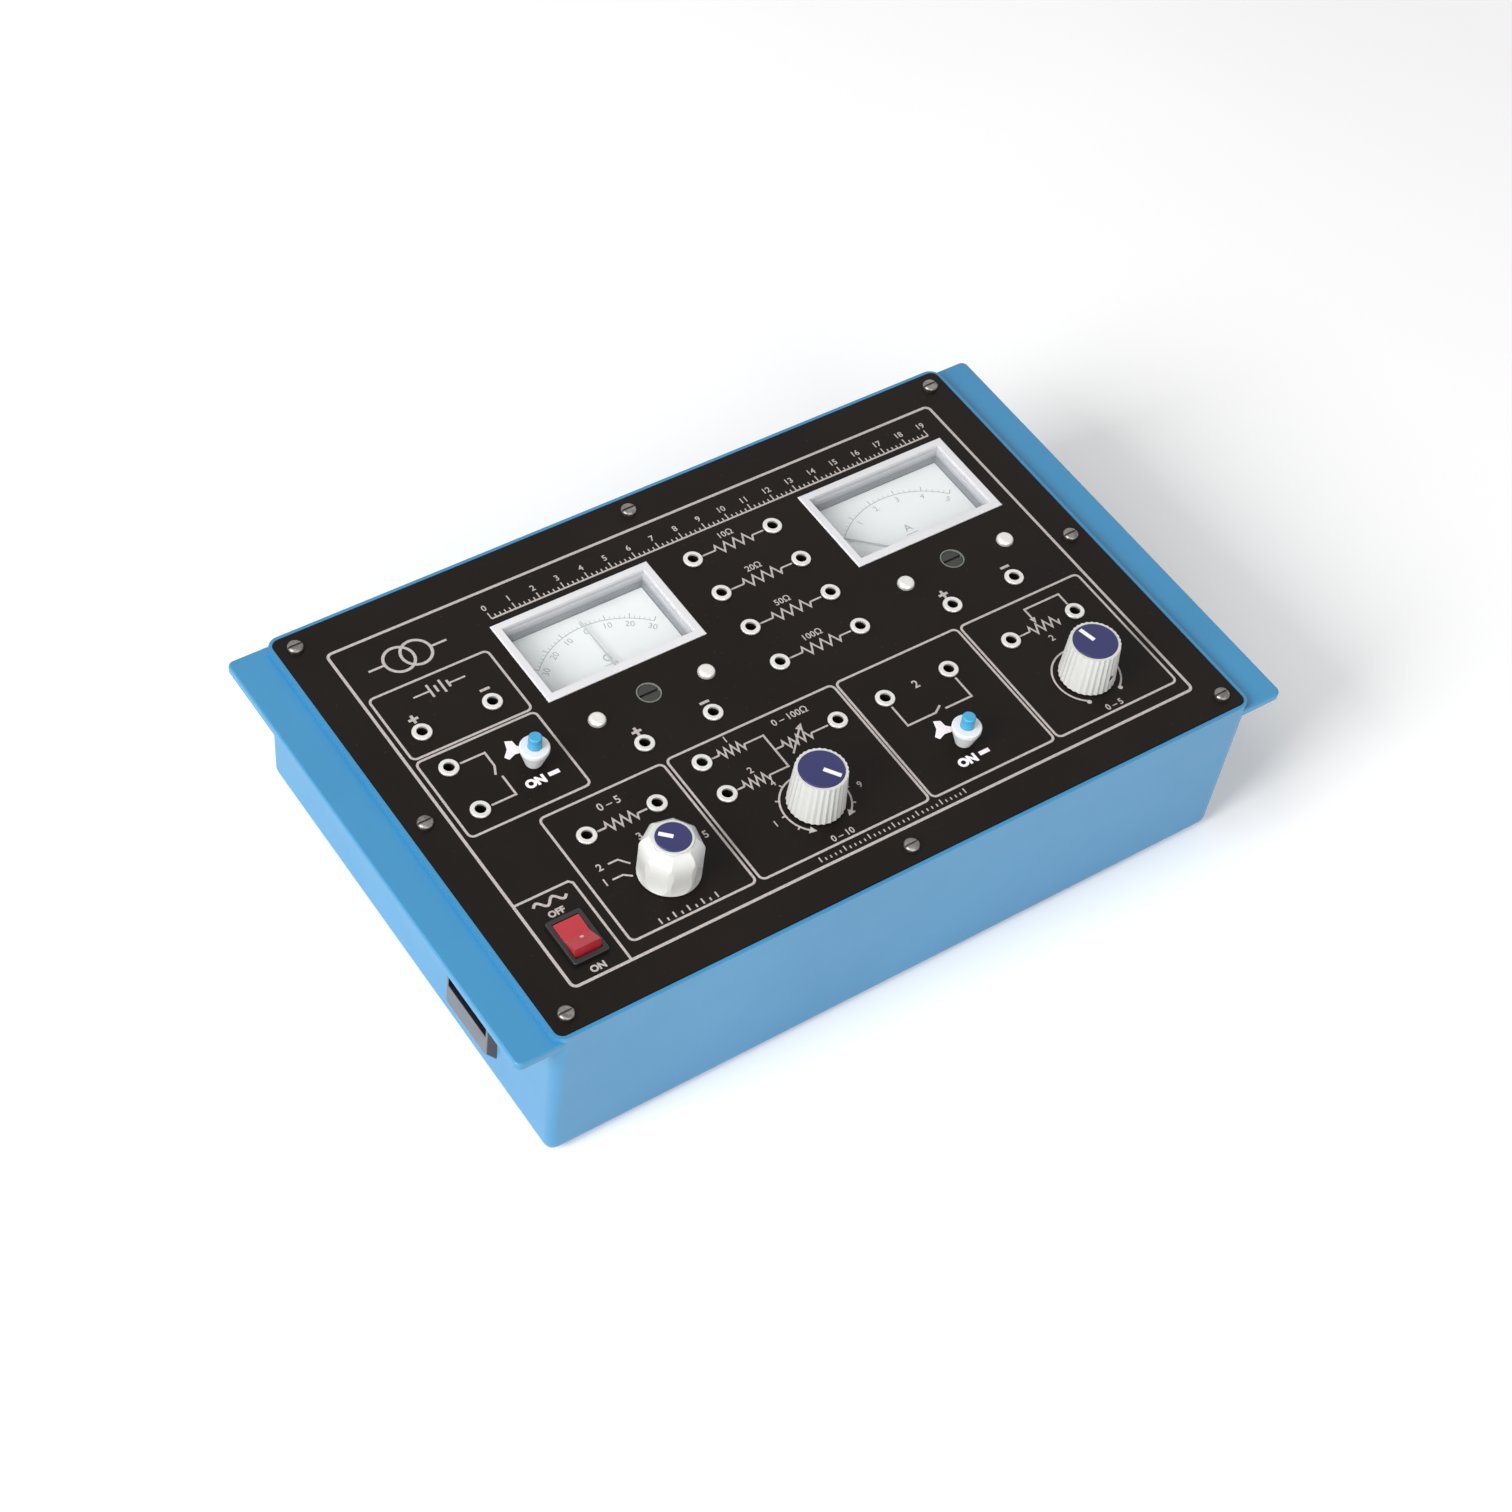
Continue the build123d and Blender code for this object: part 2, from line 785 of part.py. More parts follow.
def meter_magnet(centre, label):
    """Ring magnet with the fixed core held inside it by a web at the back."""
    with BuildPart() as magnet:
        with BuildSketch(Plane.XY.offset(base_inside)):
            with Locations((centre, pivot_row)):
                Circle(ring_outer_radius)
                Circle(ring_inner_radius, mode=Mode.SUBTRACT)
        extrude(amount=ring_height)
        with BuildSketch(Plane.XY.offset(core_bottom)):
            with Locations((centre, pivot_row)):
                Circle(core_radius)
                Rectangle(
                    core_web_width,
                    (ring_outer_radius + ring_inner_radius) / 2,
                    align=(Align.CENTER, Align.MIN),
                )
        extrude(amount=core_height)
    save(magnet, label)


def meter_coil(centre, angle, label):
    """Rectangular coil round the core, with its lower pivot."""
    inner_reach = core_radius + coil_gap
    outer_reach = inner_reach + coil_bar
    coil_bottom = core_bottom - coil_gap - coil_bar
    coil_top = core_top + coil_gap + coil_bar
    turned = Plane(origin=(centre, pivot_row, 0), z_dir=(0, 0, 1)).rotated((0, 0, angle))
    with BuildPart() as coil:
        with BuildSketch(turned.offset(coil_bottom)):
            Rectangle(2 * outer_reach, coil_width)
        extrude(amount=coil_top - coil_bottom)
        with BuildSketch(turned.offset(coil_bottom + coil_bar)):
            Rectangle(2 * inner_reach, coil_width)
        extrude(amount=coil_top - coil_bottom - 2 * coil_bar, mode=Mode.SUBTRACT)
        pivot_bottom = base_inside + bearing_boss_height - pivot_engagement
        with Locations((centre, pivot_row, pivot_bottom)):
            Cylinder(pivot_radius, coil_bottom + coil_bar / 2 - pivot_bottom, align=UPRIGHT)
    save(coil, label)


def meter_needle(centre, angle, label):
    """Pointer on its hub, with the upper pivot and a short tail."""
    coil_top = core_top + coil_gap + coil_bar
    turned = Plane(origin=(centre, pivot_row, 0), z_dir=(0, 0, 1)).rotated((0, 0, angle))
    with BuildPart() as needle:
        with BuildSketch(turned.offset(needle_bottom)):
            with BuildLine():
                Polyline(
                    (-needle_width, -needle_tail),
                    (needle_width, -needle_tail),
                    (needle_width / 2, 0),
                    (needle_tip_width / 2, needle_length),
                    (-needle_tip_width / 2, needle_length),
                    (-needle_width / 2, 0),
                    close=True,
                )
            make_face()
        extrude(amount=needle_thickness)
        with Locations((centre, pivot_row, coil_top)):
            Cylinder(needle_hub_radius, needle_top - coil_top, align=UPRIGHT)
        with Locations((centre, pivot_row, needle_top)):
            Cylinder(pivot_radius, pivot_end_play + pivot_engagement, align=UPRIGHT)
    save(needle, label)


def zero_adjuster(centre, label):
    """Slotted screw in its collar, with a stem through the cover."""
    head_top = panel_top - zero_head_drop
    head_bottom = head_top - zero_head_height
    with BuildPart() as adjuster:
        with Locations((centre, zero_row, head_bottom)):
            Cylinder(zero_head_radius, zero_head_height, align=UPRIGHT)
        with Locations((centre, zero_row, cover_bottom - zero_stem_length)):
            Cylinder(
                zero_stem_radius,
                head_bottom - cover_bottom + zero_stem_length,
                align=UPRIGHT,
            )
        with Locations((centre, zero_row, head_top)):
            Box(
                2 * zero_head_radius,
                zero_slot_width,
                2 * zero_slot_depth,
                mode=Mode.SUBTRACT,
            )
    save(adjuster, label)


def meter_fixing_screws():
    """Four domed screws that clamp the meters from the front."""
    with BuildPart() as screws:
        for place in meter_screw_places:
            with Locations((*place, panel_top)):
                Cylinder(meter_screw_head_radius, meter_screw_head_height, align=UPRIGHT)
        top_edges = screws.edges().filter_by(GeomType.CIRCLE).group_by(Axis.Z)[-1]
        fillet(top_edges, meter_screw_head_height * 0.85)
        for place in meter_screw_places:
            with Locations((*place, panel_top)):
                Cylinder(meter_screw_radius, panel_thickness + cover_flange, align=HANGING)
    save(screws, "meter_fixing_screws")


def meter_terminals():
    """Studs and nuts on the back of both meters."""
    with BuildPart() as terminals:
        for centre in meter_centres:
            for side in (-1, 1):
                place = (centre + side * terminal_offset, terminal_row)
                stud_top = base_inside + terminal_inside
                with Locations((*place, stud_top)):
                    Cylinder(
                        terminal_radius,
                        terminal_length + base_floor + terminal_inside,
                        align=HANGING,
                    )
                with BuildSketch(Plane.XY.offset(base_bottom)):
                    with Locations(place):
                        RegularPolygon(hex_radius(terminal_nut_flats), 6)
                extrude(amount=-terminal_nut_height)
    save(terminals, "meter_terminals")


def control_case(place, stop_centre, stop_half_angle, label):
    """Round case with a threaded bush and an end stop for the wiper."""
    cavity_top = control_case_top - control_case_wall
    cavity_bottom = control_case_bottom + control_case_wall
    cavity_radius = control_case_radius - control_case_wall
    with BuildPart() as case:
        with Locations((*place, control_case_bottom)):
            Cylinder(control_case_radius, control_case_height, align=UPRIGHT)
        with Locations((*place, control_case_top)):
            Cylinder(bush_radius, bush_top - control_case_top, align=UPRIGHT)
        with Locations((*place, cavity_bottom)):
            Cylinder(
                cavity_radius,
                cavity_top - cavity_bottom,
                align=UPRIGHT,
                mode=Mode.SUBTRACT,
            )
        with Locations((*place, cavity_bottom)):
            Cylinder(
                shaft_radius + shaft_play,
                bush_top - cavity_bottom,
                align=UPRIGHT,
                mode=Mode.SUBTRACT,
            )
        first = stop_centre - stop_half_angle
        last = stop_centre + stop_half_angle
        with BuildSketch(Plane.XY.offset(cavity_bottom)):
            with BuildLine():
                inner = ThreePointArc(
                    on_circle(place, stop_inner_radius, first),
                    on_circle(place, stop_inner_radius, stop_centre),
                    on_circle(place, stop_inner_radius, last),
                )
                outer = ThreePointArc(
                    on_circle(place, cavity_radius, first),
                    on_circle(place, cavity_radius, stop_centre),
                    on_circle(place, cavity_radius, last),
                )
                Line(inner @ 0, outer @ 0)
                Line(inner @ 1, outer @ 1)
            make_face()
        extrude(amount=cavity_top - cavity_bottom)
    save(case, label)


def control_shaft(place, pointer_angle, label):
    """Shaft with the wiper disc and its lug."""
    wiper_bottom = control_case_bottom + control_case_wall + wiper_gap
    shaft_top = bush_top + shaft_reach - bush_height
    shaft_bottom = control_case_bottom + control_case_wall + shaft_end_play
    with BuildPart() as shaft:
        with Locations((*place, shaft_bottom)):
            Cylinder(shaft_radius, shaft_top - shaft_bottom, align=UPRIGHT)
        with BuildSketch(Plane.XY.offset(wiper_bottom)):
            with Locations(place):
                Circle(wiper_relief_radius)
            with BuildLine():
                arc = ThreePointArc(
                    on_circle(place, wiper_radius, pointer_angle - lug_half_angle),
                    on_circle(place, wiper_radius, pointer_angle),
                    on_circle(place, wiper_radius, pointer_angle + lug_half_angle),
                )
                Line(arc @ 0, place)
                Line(arc @ 1, place)
            make_face()
        extrude(amount=wiper_thickness)
    save(shaft, label)


def control_tracks():
    """Resistance tracks of the two variable resistors, on the case floors."""
    cavity_bottom = control_case_bottom + control_case_wall
    with BuildPart() as tracks:
        with BuildSketch(Plane.XY.offset(cavity_bottom)):
            with Locations(*row_places(control_columns[1:], control_row)):
                Circle(stop_inner_radius - track_gap)
                Circle(stop_inner_radius - track_gap - track_width, mode=Mode.SUBTRACT)
        extrude(amount=track_height)
    save(tracks, "resistance_tracks")


def control_nuts():
    """Hexagon nuts that clamp the three controls, hidden under the knobs."""
    with BuildPart() as nuts:
        with BuildSketch(Plane.XY.offset(panel_top)):
            with Locations(*control_places):
                RegularPolygon(hex_radius(control_nut_flats), 6)
                Circle(bush_radius + control_nut_play, mode=Mode.SUBTRACT)
        extrude(amount=control_nut_height)
    save(nuts, "control_nuts")


def fluted_outline(place, radius):
    """Corner points of a knob section: ridges and valleys in turn."""
    step = 360.0 / (2 * knob_flutes)
    depths = (0.0, knob_flute_depth)
    return [on_circle(place, radius - depths[i % 2], i * step) for i in range(2 * knob_flutes)]


def grub_screw_cut(place, angle, outside):
    """Plane along a grub screw, from its outer end towards the shaft."""
    start = on_circle(place, outside, angle)
    turn = math.radians(angle)
    inward = (-math.cos(turn), -math.sin(turn), 0)
    return Plane(origin=(*start, panel_top + grub_screw_level), z_dir=inward)


def hollow_knob(place):
    """Cut the cavity for the nut and the shaft bore into the knob being built."""
    bottom = panel_top + knob_lift
    shaft_top = bush_top + shaft_reach - bush_height
    with Locations((*place, bottom)):
        Cylinder(knob_cavity_radius, knob_cavity_height, align=UPRIGHT, mode=Mode.SUBTRACT)
    with Locations((*place, bottom)):
        Cylinder(shaft_radius + shaft_play, shaft_top - bottom, align=UPRIGHT, mode=Mode.SUBTRACT)


def fluted_knob(place, screw_angle, label):
    """Tapered fluted knob with a recess for its cap."""
    bottom = panel_top + knob_lift
    top = bottom + knob_height
    with BuildPart() as knob:
        with BuildSketch(Plane.XY.offset(bottom)):
            with BuildLine():
                Polyline(*fluted_outline(place, knob_base_radius), close=True)
            make_face()
        with BuildSketch(Plane.XY.offset(top)):
            with BuildLine():
                Polyline(*fluted_outline(place, knob_top_radius), close=True)
            make_face()
        loft(ruled=True)
        with Locations((*place, top)):
            Cylinder(
                knob_cap_radius + knob_cap_play,
                knob_cap_inset,
                align=HANGING,
                mode=Mode.SUBTRACT,
            )
        hollow_knob(place)
        cut = grub_screw_cut(place, screw_angle, knob_base_radius + knob_flute_depth)
        with BuildSketch(cut):
            Circle(grub_screw_radius)
        extrude(amount=knob_base_radius - shaft_radius + knob_flute_depth, mode=Mode.SUBTRACT)
    save(knob, label)


def faceted_knob(place, pointer_angle, screw_angle, label):
    """Round based knob with eight flats that lean in to the rim of its cap."""
    bottom = panel_top + knob_lift
    top = bottom + faceted_knob_height
    sections = (
        (bottom, faceted_knob_base_corner),
        (bottom + faceted_knob_waist, faceted_knob_waist_corner),
        (bottom + faceted_knob_shoulder, faceted_knob_shoulder_corner),
        (top - faceted_knob_rim_height, faceted_knob_top_corner),
    )
    turn = pointer_angle + faceted_knob_facet_turn
    with BuildPart() as knob:
        for level, corner_radius in sections:
            with BuildSketch(Plane.XY.offset(level)):
                with Locations(place):
                    RegularPolygon(corner_radius, faceted_knob_facets, rotation=turn)
        loft()
        with Locations((*place, bottom)):
            Cylinder(faceted_knob_radius, faceted_knob_height, align=UPRIGHT, mode=Mode.INTERSECT)
        with Locations((*place, top)):
            Cylinder(faceted_knob_rim_radius, 2 * faceted_knob_rim_height, align=HANGING)
            Cylinder(
                faceted_cap_radius + knob_cap_play,
                knob_cap_inset,
                align=HANGING,
                mode=Mode.SUBTRACT,
            )
        hollow_knob(place)
        cut = grub_screw_cut(place, screw_angle, faceted_knob_base_corner)
        with BuildSketch(cut):
            Circle(grub_screw_radius)
        extrude(amount=faceted_knob_base_corner - shaft_radius, mode=Mode.SUBTRACT)
    save(knob, label)


def knob_cap(place, radius, knob_top, label):
    """Coloured disc that is pressed into the knob's top."""
    with BuildPart() as cap:
        with Locations((*place, knob_top - knob_cap_inset)):
            Cylinder(radius, knob_cap_thickness, align=UPRIGHT)
        fillet(cap.edges().group_by(Axis.Z)[-1], knob_cap_play * 3)
    save(cap, label)


def grub_screw(place, angle, outside, label):
    """Headless screw that bears on the shaft."""
    length = outside - grub_screw_inset - shaft_radius
    start = grub_screw_cut(place, angle, outside - grub_screw_inset)
    with BuildPart() as screw:
        with BuildSketch(start):
            Circle(grub_screw_radius)
        extrude(amount=length)
        with BuildSketch(start):
            Rectangle(2 * grub_screw_radius, grub_screw_radius / 2)
        extrude(amount=grub_screw_radius / 2, mode=Mode.SUBTRACT)
    save(screw, label)


def key_collars():
    """White flared collars on the panel round the two buttons."""
    with BuildPart() as collars:
        for place in key_places:
            with BuildSketch(Plane.XZ.offset(-place[1])):
                with BuildLine():
                    Polyline(
                        (place[0], panel_top),
                        (place[0] + key_collar_base_radius, panel_top),
                        (
                            place[0] + key_collar_top_radius,
                            panel_top + key_collar_height - key_collar_band,
                        ),
                        (place[0] + key_collar_top_radius, panel_top + key_collar_height),
                        (place[0], panel_top + key_collar_height),
                        close=True,
                    )
                make_face()
            revolve(axis=Axis((*place, 0), (0, 0, 1)))
        fillet(collars.edges().group_by(Axis.Z)[-1], key_collar_band / 3)
        for place in key_places:
            with Locations((*place, panel_top)):
                Cylinder(key_bush_radius, key_bush_height, align=UPRIGHT, mode=Mode.SUBTRACT)
                Cylinder(
                    key_button_radius + key_button_play,
                    key_collar_height,
                    align=UPRIGHT,
                    mode=Mode.SUBTRACT,
                )
    save(collars, "key_collars")


def key_cases():
    """Square switch cases under the panel with their threaded bushes."""
    case_bottom = panel_bottom - key_case_height
    with BuildPart() as cases:
        for place in key_places:
            with Locations((*place, case_bottom)):
                Box(key_case_size, key_case_size, key_case_height, align=UPRIGHT)
            with Locations((*place, panel_bottom)):
                Cylinder(key_bush_radius, panel_thickness + key_bush_height, align=UPRIGHT)
            with Locations((*place, case_bottom + key_case_wall)):
                Box(
                    key_case_size - 2 * key_case_wall,
                    key_case_size - 2 * key_case_wall,
                    key_case_height - 2 * key_case_wall,
                    align=UPRIGHT,
                    mode=Mode.SUBTRACT,
                )
                Cylinder(
                    key_stem_radius + key_stem_play,
                    key_case_height + panel_thickness + key_bush_height,
                    align=UPRIGHT,
                    mode=Mode.SUBTRACT,
                )
    save(cases, "key_cases")


def key_button(place, label):
    """Blue button with its stem and the foot that closes the contacts."""
    top = panel_top + key_collar_height + key_button_rise
    head_bottom = panel_top + key_bush_height + key_travel + key_bush_clear
    foot_top = panel_bottom - key_case_wall - key_foot_gap
    with BuildPart() as button:
        with Locations((*place, head_bottom)):
            Cylinder(key_button_radius, top - head_bottom, align=UPRIGHT)
        fillet(button.edges().group_by(Axis.Z)[-1], key_button_edge)
        with Locations((*place, foot_top)):
            Cylinder(key_stem_radius, head_bottom - foot_top, align=UPRIGHT)
            Cylinder(key_foot_radius, key_foot_height, align=HANGING)
    save(button, label)


def rocker_bezel():
    """Black frame and body of the rocker switch, open at the top."""
    body_bottom = panel_top - rocker_body_depth
    with BuildPart() as bezel:
        with BuildSketch(Plane.XY.offset(panel_top)):
            with Locations(rocker_place):
                RectangleRounded(rocker_bezel_width, rocker_bezel_length, rocker_bezel_radius)
        extrude(amount=rocker_bezel_height)
        fillet(bezel.edges().group_by(Axis.Z)[-1], rocker_bezel_height / 4)
        with Locations((*rocker_place, panel_top)):
            Box(rocker_body_width, rocker_body_length, rocker_body_depth, align=HANGING)
        with Locations((*rocker_place, body_bottom + rocker_body_floor)):
            Box(
                rocker_opening_width,
                rocker_opening_length,
                rocker_body_depth + rocker_bezel_height,
                align=UPRIGHT,
                mode=Mode.SUBTRACT,
            )
        with Locations((*rocker_place, rocker_pivot_level)):
            Cylinder(
                rocker_pin_radius + rocker_pin_play,
                rocker_opening_width + 2 * rocker_pin_length,
                rotation=(0, 90, 0),
                mode=Mode.SUBTRACT,
            )
    save(bezel, "rocker_bezel")


def power_rocker():
    """Red rocker on two side pins, drawn with its back end pressed."""
    turn = math.radians(rocker_tilt)
    tilted = Plane(
        origin=(rocker_place[0] - rocker_width / 2, rocker_place[1], rocker_pivot_level),
        x_dir=(0, math.cos(turn), -math.sin(turn)),
        z_dir=(1, 0, 0),
    )
    with BuildPart() as rocker:
        with BuildSketch(tilted):
            with BuildLine():
                Polyline(
                    (-rocker_half_length, rocker_end_height),
                    (0, rocker_middle_height),
                    (rocker_half_length, rocker_end_height),
                    (rocker_half_length, -rocker_side_depth),
                    (rocker_bottom_half_length, -rocker_bottom_depth),
                    (-rocker_bottom_half_length, -rocker_bottom_depth),
                    (-rocker_half_length, -rocker_side_depth),
                    close=True,
                )
            make_face()
        extrude(amount=rocker_width)
        with Locations((*rocker_place, rocker_pivot_level)):
            Cylinder(
                rocker_pin_radius,
                rocker_width + 2 * rocker_pin_length,
                rotation=(0, 90, 0),
            )
    save(rocker, "power_rocker")


def switch_terminals():
    """Flat tags under the rocker switch and the two keys."""
    rocker_bottom = panel_top - rocker_body_depth
    key_bottom = panel_bottom - key_case_height
    with BuildPart() as terminals:
        for side in (-1, 1):
            tag_row = rocker_place[1] + side * switch_tag_pitch / 2
            with Locations((rocker_place[0], tag_row, rocker_bottom)):
                Box(switch_tag_width, switch_tag_thickness, switch_tag_length, align=HANGING)
            for place in key_places:
                tag_row = place[1] + side * switch_tag_pitch / 2
                with Locations((place[0], tag_row, key_bottom)):
                    Box(key_tag_width, switch_tag_thickness, switch_tag_length, align=HANGING)
    save(terminals, "switch_terminals")


def inlet_plane(offset):
    """Plane across the inlet, an offset outward from the seat in the wall."""
    return Plane(
        origin=(-inlet_seat - offset, inlet_row, inlet_level), x_dir=(0, -1, 0), z_dir=(-1, 0, 0)
    )


def mains_inlet():
    """Appliance inlet: bevelled front, open recess over a plain lip, two side clips."""
    clip_level = inlet_level - inlet_clip_height / 2
    clip_face = wall_outside(clip_level) - wall_thickness - inlet_clip_gap
    with BuildPart() as inlet:
        with BuildSketch(inlet_plane(0)):
            RectangleRounded(inlet_base_length, inlet_base_height, inlet_base_corner)
        with BuildSketch(inlet_plane(inlet_rise)):
            RectangleRounded(inlet_face_length, inlet_face_height, inlet_face_corner)
        loft(ruled=True)
        with BuildSketch(inlet_plane(0)):
            Rectangle(inlet_body_length, inlet_body_height)
        extrude(amount=-inlet_body_reach)
        with BuildSketch(Plane.XY.offset(clip_level)):
            for side in (-1, 1):
                side_face = inlet_row + side * inlet_body_length / 2
                with BuildLine():
                    Polyline(
                        (-clip_face, side_face - side * inlet_back_wall / 2),
                        (-clip_face, side_face + side * inlet_clip_reach),
                        (-clip_face + inlet_clip_length, side_face),
                        (-clip_face + inlet_clip_length, side_face - side * inlet_back_wall / 2),
                        close=True,
                    )
                make_face()
        extrude(amount=inlet_clip_height)
        with BuildSketch(inlet_plane(inlet_rise)) as mouth:
            with Locations((0, inlet_recess_rise)):
                Rectangle(inlet_recess_length, inlet_recess_height)
            chamfer(mouth.vertices().group_by(Axis.Y)[-1], inlet_recess_chamfer)
        extrude(amount=-inlet_recess_depth, mode=Mode.SUBTRACT)
        with BuildSketch(inlet_plane(-inlet_body_reach)):
            with Locations(*inlet_pin_places()):
                Rectangle(inlet_pin_width, inlet_pin_height)
        extrude(amount=inlet_back_wall, mode=Mode.SUBTRACT)
    save(inlet, "mains_inlet")


def inlet_pin_places():
    """Places of the three pins across the inlet, set from the middle of its recess."""
    return [
        (-inlet_pin_spacing, inlet_recess_rise - inlet_pin_drop),
        (inlet_pin_spacing, inlet_recess_rise - inlet_pin_drop),
        (0, inlet_recess_rise + inlet_pin_rise),
    ]


def inlet_pins():
    """Three flat pins with their solder tags behind the inlet."""
    with BuildPart() as pins:
        with BuildSketch(inlet_plane(-inlet_body_reach - inlet_tag_length)):
            with Locations(*inlet_pin_places()):
                Rectangle(inlet_pin_width, inlet_pin_height)
        extrude(amount=inlet_tag_length + inlet_back_wall + inlet_pin_reach)
    save(pins, "inlet_pins")


def transformer_core():
    """Laminated core with two winding slots, standing on its frame."""
    seat = transformer_seat + transformer_frame_thickness
    slot_width = (core_length - 2 * core_limb - core_middle_limb) / 2
    slot_height = core_rise - 2 * core_limb
    slot_offset = (core_middle_limb + slot_width) / 2
    with BuildPart() as core:
        with Locations((*transformer_place, seat)):
            Box(core_stack, core_length, core_rise, align=UPRIGHT)
        for side in (-1, 1):
            place = (transformer_place[0], transformer_place[1] + side * slot_offset)
            with Locations((*place, seat + core_limb)):
                Box(core_stack, slot_width, slot_height, align=UPRIGHT, mode=Mode.SUBTRACT)
    save(core, "transformer_core")


def transformer_winding():
    """Winding on its bobbin round the middle limb."""
    seat = transformer_seat + transformer_frame_thickness
    slot_width = (core_length - 2 * core_limb - core_middle_limb) / 2
    slot_height = core_rise - 2 * core_limb
    width = core_middle_limb + 2 * slot_width - 2 * winding_play
    depth = core_stack + 2 * winding_overhang
    with BuildPart() as winding:
        with BuildSketch(Plane.XY.offset(seat + core_limb + winding_play)):
            with Locations(transformer_place):
                RectangleRounded(depth, width, winding_overhang / 2)
                Rectangle(
                    core_stack + 2 * winding_play,
                    core_middle_limb + 2 * winding_play,
                    mode=Mode.SUBTRACT,
                )
        extrude(amount=slot_height - 2 * winding_play)
    save(winding, "transformer_winding")


def transformer_frame():
    """Steel strap under the core with a foot on each post."""
    with BuildPart() as frame:
        with BuildSketch(Plane.XY.offset(transformer_seat)):
            with Locations(transformer_place):
                Rectangle(transformer_frame_width, transformer_frame_length)
            with Locations(*transformer_post_places):
                Circle(inner_screw_radius, mode=Mode.SUBTRACT)
        extrude(amount=transformer_frame_thickness)
    save(frame, "transformer_frame")


def inner_screws():
    """Screws that hold the transformer frame and the supply board."""
    frame_top = transformer_seat + transformer_frame_thickness
    seats = [(place, frame_top) for place in transformer_post_places]
    seats += [(place, board_top) for place in board_post_places]
    with BuildPart() as screws:
        for place, seat in seats:
            with Locations((*place, seat)):
                Cylinder(inner_screw_head_radius, inner_screw_head_height, align=UPRIGHT)
                Cylinder(inner_screw_radius, inner_screw_length, align=HANGING)
    save(screws, "inner_screws")


def supply_board():
    """Circuit board of the direct current supply."""
    with BuildPart() as board:
        with BuildSketch(Plane.XY.offset(board_bottom)):
            with Locations(board_place):
                Rectangle(board_length, board_width)
            with Locations(*board_post_places):
                Circle(inner_screw_radius, mode=Mode.SUBTRACT)
        extrude(amount=board_thickness)
    save(board, "supply_board")


def supply_capacitor():
    """Smoothing capacitor, standing on the board."""
    place = (board_place[0] + capacitor_offset[0], board_place[1] + capacitor_offset[1])
    with BuildPart() as capacitor:
        with Locations((*place, board_top)):
            Cylinder(capacitor_radius, capacitor_height, align=UPRIGHT)
        fillet(capacitor.edges().group_by(Axis.Z)[-1], capacitor_radius / 8)
    save(capacitor, "supply_capacitor")


def supply_diodes():
    """Four rectifier diodes in a row on the board."""
    first = board_place[0] + diode_offset[0] - 1.5 * diode_pitch
    row = board_place[1] + diode_offset[1]
    level = board_top + diode_radius
    with BuildPart() as diodes:
        for number in range(4):
            with Locations((first + number * diode_pitch, row, level)):
                Cylinder(diode_radius, diode_length, rotation=(90, 0, 0))
                Cylinder(diode_lead_radius, diode_lead_span, rotation=(90, 0, 0))
            for side in (-1, 1):
                foot = (first + number * diode_pitch, row + side * diode_lead_span / 2, board_top)
                with Locations(foot):
                    Box(diode_foot_width, diode_foot_width, diode_foot_height, align=UPRIGHT)
    save(diodes, "supply_diodes")


def meter(centre, needle_angle, prefix):
    """All pieces of one meter."""
    meter_cover(centre, f"{prefix}_cover")
    meter_window(centre, f"{prefix}_window")
    meter_base(centre, f"{prefix}_base")
    meter_dial(centre, f"{prefix}_dial")
    meter_magnet(centre, f"{prefix}_magnet")
    meter_coil(centre, needle_angle, f"{prefix}_coil")
    meter_needle(centre, needle_angle, f"{prefix}_needle")
    zero_adjuster(centre, f"{prefix}_zero_screw")


def fluted_control(column, pointer_angle, prefix):
    """Knob, cap, grub screw, shaft and case of one variable resistor."""
    place = (column, control_row)
    screw_angle = pointer_angle + 180
    knob_top = panel_top + knob_lift + knob_height
    fluted_knob(place, screw_angle, f"{prefix}_knob")
    knob_cap(place, knob_cap_radius, knob_top, f"{prefix}_knob_cap")
    grub_screw(place, screw_angle, knob_base_radius, f"{prefix}_grub_screw")
    control_shaft(place, pointer_angle, f"{prefix}_shaft")
    control_case(place, stop_centre_angle, pot_stop_half_angle, f"{prefix}_case")


def shunt_control():
    """Knob, cap, shaft and case of the shunt selector."""
    place = (shunt_column, control_row)
    screw_angle = shunt_pointer_angle + 180
    knob_top = panel_top + knob_lift + faceted_knob_height
    faceted_knob(place, shunt_pointer_angle, screw_angle, "shunt_knob")
    knob_cap(place, faceted_cap_radius, knob_top, "shunt_knob_cap")
    grub_screw(place, screw_angle, faceted_knob_radius, "shunt_grub_screw")
    control_shaft(place, shunt_pointer_angle, "shunt_shaft")
    control_case(place, shunt_stop_centre_angle, shunt_stop_half_angle, "shunt_case")


enclosure_tub()
front_panel()
panel_screws()
banana_sockets()
socket_nuts()
socket_tags()
fixed_resistors()
meter(galvanometer_centre, galvanometer_needle_angle, "galvanometer")
meter(ammeter_centre, ammeter_needle_angle, "ammeter")
meter_fixing_screws()
meter_terminals()
shunt_control()
fluted_control(potentiometer_column, potentiometer_pointer_angle, "potentiometer")
fluted_control(rheostat_column, rheostat_pointer_angle, "rheostat")
control_tracks()
control_nuts()
key_collars()
key_cases()
key_button(key_1_place, "key_1_button")
key_button(key_2_place, "key_2_button")
rocker_bezel()
power_rocker()
switch_terminals()
mains_inlet()
inlet_pins()
transformer_core()
transformer_winding()
transformer_frame()
inner_screws()
supply_board()
supply_capacitor()
supply_diodes()
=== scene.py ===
"""Looks of the galvanometer conversion apparatus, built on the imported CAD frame."""
import json
import math

import bmesh
import bpy
from mathutils import Matrix, Vector


